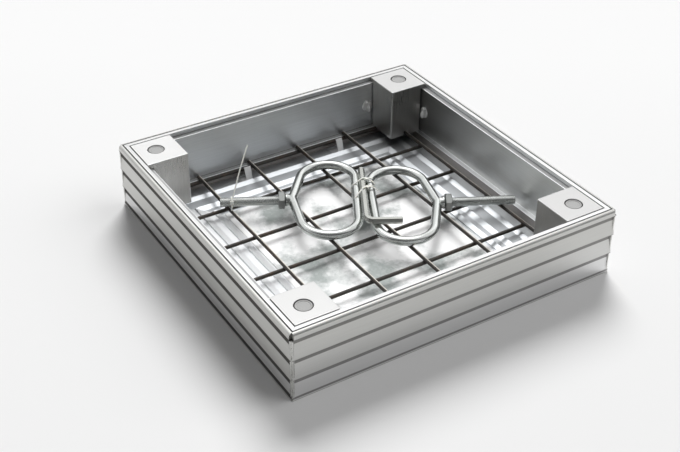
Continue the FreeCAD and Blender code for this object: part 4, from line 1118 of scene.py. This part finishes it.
class COVER_OT_handle_shanks(bpy.types.Operator):
    """Threaded shanks: the radius falls into a groove whose depth follows distance / pitch minus turn"""
    bl_idname = "cover.handle_shanks"
    bl_label = "Handle shanks"

    def execute(self, context):
        h = context.scene.cover_handle
        finish = worn_metal("Thread zinc", shaded(context.scene.cover_finishes.handle_metal, 0.9), 0.24, 40.0, 0.03,
                            0.08, 0.1, 0.14)
        turn = full_turn(28)
        for side in HANDS:
            tip = self.tip_of(f"handle_shank_{side}", h)
            along = np.append(np.arange(0.0, tip, h.pitch / 8), tip)
            groove = np.abs(((along[:, None] / h.pitch - turn / (2 * math.pi)) % 1.0) - 0.5) * 2
            size = h.shank / 2 - h.thread * np.clip(1.15 * groove - 0.1, 0, 1)
            size = np.minimum(size, (h.shank / 2 - 1.0) + (tip - along)[:, None])
            add_piece(f"cover_shank_{side}", placed(lofted(rod_rings(-along, size, turn)), handle_matrix(side)),
                      finish, [f"handle_shank_{side}"], 80)
        return {"FINISHED"}

    def tip_of(self, node, h):
        """Length of the shank from its box: the box is longer than the shank's shadow by the rod's own width."""
        low, high = node_box(node)
        turn = math.radians(h.turn)
        return (high[0] - low[0] - abs(math.sin(turn)) * h.shank * 0.9) / abs(math.cos(turn))


class COVER_OT_hex_key(bpy.types.Operator):
    """Hexagon key: a rounded hexagon carried round one bend, chamfered at both ends"""
    bl_idname = "cover.hex_key"
    bl_label = "Hexagon key"

    def execute(self, context):
        h = context.scene.cover_handle
        finish = worn_metal("Key zinc", context.scene.cover_finishes.key_metal, 0.3, 30.0, 0.03, 0.08, 0.08, 0.08)
        section = rounded_outline(circle(h.key / 2 / math.cos(math.radians(30)), 6), 0.7, 3)
        bend = rounded_outline([(h.key_arm, 0), (0, 0), (0, h.key_length)], (0, 10, 0), 18, closed=False)
        path = np.concatenate([bend[:1], bend[:1] - [0.7, 0], bend[1:-1], bend[-1:] - [0, 0.7], bend[-1:]])
        scales = np.ones(len(path))
        scales[[0, -1]] = 0.86
        key = placed(flat_path_loft(path, section, False, scales), key_matrix())
        add_piece("cover_hex_key", key, finish, ["hex_key"], 25)
        return {"FINISHED"}


class COVER_OT_ties(bpy.types.Operator):
    """Plastic ties: bands pulled tight round the bars and the key, with a lock and a curved tail each"""
    bl_idname = "cover.ties"
    bl_label = "Plastic ties"

    def execute(self, context):
        tie = context.scene.cover_tie
        finish = plain_finish("Tie nylon", context.scene.cover_finishes.tie, 0.34, 500.0, 0.03, 0.05)
        shader = finish.node_tree.nodes["Principled BSDF"].inputs
        shader["Subsurface Weight"].default_value = 0.25
        shader["Subsurface Radius"].default_value = (0.002, 0.0018, 0.0014)
        for name, solids in (("upper_tie", self.bundle_tie(context, tie.upper_left, tie.upper_right)),
                             ("lower_tie", self.bundle_tie(context, tie.lower_left, tie.lower_right)),
                             ("long_tail_tie", self.long_tie(context))):
            add_piece(f"cover_{name}", gathered(solids), finish, [name], 50)
        return {"FINISHED"}

    def band(self, tie, loop):
        """A flat band carried round a closed loop."""
        section = rectangle(tie.thickness, tie.width, tie.thickness * 0.3, 2)
        return flat_path_loft(loop, section, True)

    def block(self, outline, half):
        """Small block with rounded edges: an outline from -half to half, drawn in a little at both ends."""
        rows = ((0.85, -half), (1.0, 0.5 - half), (1.0, half - 0.5), (0.85, half))
        return lofted(np.stack([np.column_stack([outline * scale, np.full(len(outline), level)])
                                for scale, level in rows]))

    def crossing(self, matrix, start, y):
        """Where a line that starts at a point of a frame and runs along its Y axis crosses a line of equal y."""
        start = matrix @ Vector(start)
        direction = matrix.to_3x3() @ Vector((0, 1, 0))
        return start + direction * ((y - start.y) / direction.y)

    def bundle_tie(self, context, left_y, right_y):
        """Band round both far bars and the key; drawn upright, then stood between the bars."""
        h, tie = context.scene.cover_handle, context.scene.cover_tie
        a = self.crossing(ring_matrix("left"), (h.depth, 0, 0), left_y)
        b = self.crossing(ring_matrix("right"), (h.depth, 0, 0), right_y)
        k = self.crossing(key_matrix(), (0, 0, 0), (a + b).y / 2)
        run, reach = b - a, (b - a).length
        side = Vector((run.x, run.y, 0)).normalized()
        axes = np.array([side, (0, 0, 1), (side.y, -side.x, 0)])
        rod = h.rod / 2 + tie.thickness / 2 + 0.12
        circles = [(0, a.z, rod), (reach, b.z, rod), ((k - a).dot(side), k.z, h.key * 0.56 + tie.thickness / 2)]

        def stand(points):
            """The upright drawing, stood over the line from the left bar to the right one."""
            return points @ axes + (a.x, a.y, 0.0)

        band, band_faces = self.band(tie, steps_between(wrap_round(circles, 96), 1.0))
        lock = np.array([reach - 7.0, max(b.z + rod, k.z) + 1.0, 0.0])
        block, block_faces = self.block(rectangle(5.0, 3.4, 0.6, 3) + (0.0, 0.2), tie.head / 2)
        t = np.linspace(0, 1, 24)[:, None]
        tail = lock + np.hstack([9.5 * t, 0.4 + 2.6 * np.sin(1.9 * t) - 8.5 * t ** 2, 10.0 * t])
        return [(stand(band), band_faces), (stand(block + lock), block_faces),
                strap_along(stand(tail), tie.width * 0.9, tie.thickness * 0.8, (0.0, 0.0, 1.0))]

    def long_tie(self, context):
        """Loop round the left shank whose long tail stands up towards the back wall."""
        h, tie, left = context.scene.cover_handle, context.scene.cover_tie, handle_matrix("left")
        loop, loop_faces = self.band(tie, circle(h.shank / 2 + tie.thickness / 2 + 0.1, 48))
        low, high = node_box("long_tail_tie")
        place = 63.0  # distance of the tie from the nut
        front = np.array(left @ Vector((-place, -6.6, 3.0)))
        tip = np.array([high[0] - 0.6, high[1] - 0.6, high[2] - 0.3])
        foot = np.array([front[0] - 2.5, front[1] - 3.0, low[2] + 1.5])
        t = np.linspace(0, 1, 60)[:, None]
        run = front + (tip - front) * t + np.sin(math.pi * t) * [-1.0, 0.0, 1.4]
        lead = front + (foot - front) * t[::-3]
        turn = Matrix.Translation(Vector(front)) @ left.to_3x3().to_4x4() @ Matrix.Rotation(math.radians(65), 4, "X")
        return [placed((loop[:, [2, 0, 1]] - (place, 0.0, 0.0), loop_faces), left),
                strap_along(np.concatenate([lead[:-1], run]), tie.width * 0.9, tie.thickness * 0.85, (0.5, -0.8, 0.3)),
                placed(self.block(rectangle(4.6, 4.6, 0.6, 3), 1.7), turn)]


class COVER_OT_hidden_parts(bpy.types.Operator):
    """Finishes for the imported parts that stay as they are: lugs, seal, bushes, bolts and their washers"""
    bl_idname = "cover.hidden_parts"
    bl_label = "Hidden parts"

    def execute(self, context):
        colours = context.scene.cover_finishes
        zinc = worn_metal("Fastener zinc", (0.58, 0.58, 0.55), 0.3, 50.0, 0.03)
        rubber = plain_finish("Seal rubber", colours.rubber, 0.75, 300.0, 0.2, 0.3)
        lug = worn_metal("Lug aluminium", colours.frame_metal, 0.4, 20.0)
        finishes = {"frame_gasket": rubber, "bolt_washers": zinc}
        for corner in CORNERS:
            finishes[f"frame_lug_{corner}"] = lug
            finishes[f"lifting_bush_{corner}"] = zinc
            finishes[f"locking_bolt_{corner}"] = zinc
        for name, finish in finishes.items():
            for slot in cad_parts[name].material_slots:
                slot.material = finish
        return {"FINISHED"}


class COVER_OT_stage(bpy.types.Operator):
    """Stage: a pale floor, a room that is brighter behind the object, a large soft light and the camera"""
    bl_idname = "cover.stage"
    bl_label = "Stage, lights and camera"

    def execute(self, context):
        scene, s = context.scene, context.scene.cover_stage
        mesh = bpy.data.meshes.new("stage_floor")
        reach = 14.0
        mesh.from_pydata([(-reach, -reach, 0), (reach, -reach, 0), (reach, reach, 0), (-reach, reach, 0)], [],
                         [(0, 1, 2, 3)])
        floor = bpy.data.objects.new("stage_floor", mesh)
        scene.collection.objects.link(floor)
        material, tree = new_material("Stage floor")
        # Painted light: the floor's colour grades from darker at the front to lighter at the back
        away = spread(tree, toward(tree, object_place(tree), (0.53, 0.848, 0.0)), 0, 1, (-0.6, 0.5))
        shader = tree.nodes["Principled BSDF"].inputs
        for name, value in (("Base Color", mixed(tree, away, shaded(s.floor, 0.95), shaded(s.floor, 1.06))),
                            ("Roughness", 0.9), ("Specular IOR Level", 0.1)):
            feed(tree, value, shader[name])
        mesh.materials.append(material)
        self.light_room(scene, s)
        self.add_camera(scene)
        scene.view_settings.view_transform = "Standard"
        return {"FINISHED"}

    def light_room(self, scene, s):
        """White for the camera; metal sees a room that brightens upwards and backwards, and two lamps; the rest
        gets a low even fill."""
        world = bpy.data.worlds.new("Room")
        scene.world = world
        world.use_nodes = True
        tree = world.node_tree
        tree.nodes.clear()
        place = add(tree, "TexCoord")["Generated"]

        def brightened(source, stops, low, high):
            """A rise between two stops that starts and ends softly."""
            return spread(tree, source, low, high, stops, interpolation_type="SMOOTHSTEP")

        behind, overhead, right_back = (0.45, 0.75, 0.35), (0.12, 0.36, 0.92), (0.73, 0.51, 0.45)
        back = brightened(toward(tree, place, behind), (s.room_from, s.room_to), s.room_front, s.room_back)
        room = maths(tree, "MULTIPLY", back, brightened(parts_of(tree, place)["Z"], (0.1, 0.5), s.horizon, s.ceiling))
        for direction, rim, bright in ((overhead, (0.90, 0.975), s.lamp), (right_back, (0.90, 0.985), s.window)):
            room = maths(tree, "ADD", room, brightened(toward(tree, place, direction), rim, 0.0, bright))
        path = add(tree, "LightPath")
        seen = maths(tree, "MAXIMUM", path["Is Glossy Ray"], path["Is Transmission Ray"])
        shown = mixed(tree, path["Is Camera Ray"], mixed(tree, seen, s.fill, room), 1.0)
        add(tree, "OutputWorld", {"Surface": add(tree, "Background", {"Strength": shown})[0]})
        for name, size, energy, direction in (("Key", s.key_size, s.key, (0.40, 0.60, 0.69)),
                                              ("Side", 50.0, s.side, (0.62, -0.36, 0.70))):
            data = bpy.data.lights.new(name, "SUN")
            data.angle = math.radians(size)
            data.energy = energy
            lamp = bpy.data.objects.new(name, data)
            lamp.rotation_euler = Vector(direction).to_track_quat("Z", "Y").to_euler()
            lamp.visible_glossy = False
            scene.collection.objects.link(lamp)

    def add_camera(self, scene):
        """The camera's place and turn are those that the photograph was taken from."""
        data = bpy.data.cameras.new("Camera")
        data.sensor_width = 36.0
        focal, width = 1181.42, 680  # in pixels of the photograph
        data.lens = focal / width * data.sensor_width
        data.clip_start, data.clip_end = 0.05, 60.0
        camera = bpy.data.objects.new("Camera", data)
        azimuth, elevation, roll = (math.radians(v) for v in (-31.9855, 34.632, 0.4313))
        back = Vector((math.sin(azimuth) * math.cos(elevation), -math.cos(azimuth) * math.cos(elevation),
                       math.sin(elevation)))
        right = Vector((math.cos(azimuth), math.sin(azimuth), 0))
        up = back.cross(right)
        tilted_right = math.cos(roll) * right + math.sin(roll) * up
        tilted_up = -math.sin(roll) * right + math.cos(roll) * up
        turn = Matrix((tilted_right, tilted_up, back)).transposed().to_4x4()
        camera.matrix_world = Matrix.Translation((-0.66206, -1.02013, 0.85520)) @ turn
        scene.collection.objects.link(camera)
        scene.camera = camera


class VIEW3D_PT_cover(bpy.types.Panel):
    """Sizes, finishes and steps of the paving cover"""
    bl_label = "Paving cover"
    bl_space_type = "VIEW_3D"
    bl_region_type = "UI"
    bl_category = "Cover"

    def draw(self, context):
        scene = context.scene
        for group in GROUPS:
            box = self.layout.box()
            settings = getattr(scene, group)
            for name in settings.bl_rna.properties.keys():
                if name not in ("rna_type", "name"):
                    box.prop(settings, name)
        for step in OPERATORS:
            self.layout.operator(step.bl_idname)


GROUPS = {"cover_frame": FrameSizes, "cover_tray": TraySizes, "cover_handle": HandleSizes, "cover_tie": TieSizes,
          "cover_finishes": Finishes, "cover_stage": StageSettings}
OPERATORS = (COVER_OT_stage, COVER_OT_frame_rails, COVER_OT_weld_beads, COVER_OT_tray_rails,
             COVER_OT_anchor_tongues, COVER_OT_floor_sheet, COVER_OT_corner_boxes, COVER_OT_corner_caps,
             COVER_OT_box_screws, COVER_OT_mesh_bars, COVER_OT_handle_rings, COVER_OT_handle_nuts,
             COVER_OT_handle_shanks, COVER_OT_hex_key, COVER_OT_ties, COVER_OT_hidden_parts)


def register():
    for name, group in GROUPS.items():
        bpy.utils.register_class(group)
        setattr(bpy.types.Scene, name, PointerProperty(type=group))
    for step in OPERATORS:
        bpy.utils.register_class(step)
    bpy.utils.register_class(VIEW3D_PT_cover)


def unregister():
    bpy.utils.unregister_class(VIEW3D_PT_cover)
    for step in reversed(OPERATORS):
        bpy.utils.unregister_class(step)
    for name, group in GROUPS.items():
        delattr(bpy.types.Scene, name)
        bpy.utils.unregister_class(group)


def main():
    register()
    for step in OPERATORS:
        group, name = step.bl_idname.split(".")
        getattr(getattr(bpy.ops, group), name)()


if __name__ == "__main__":
    main()
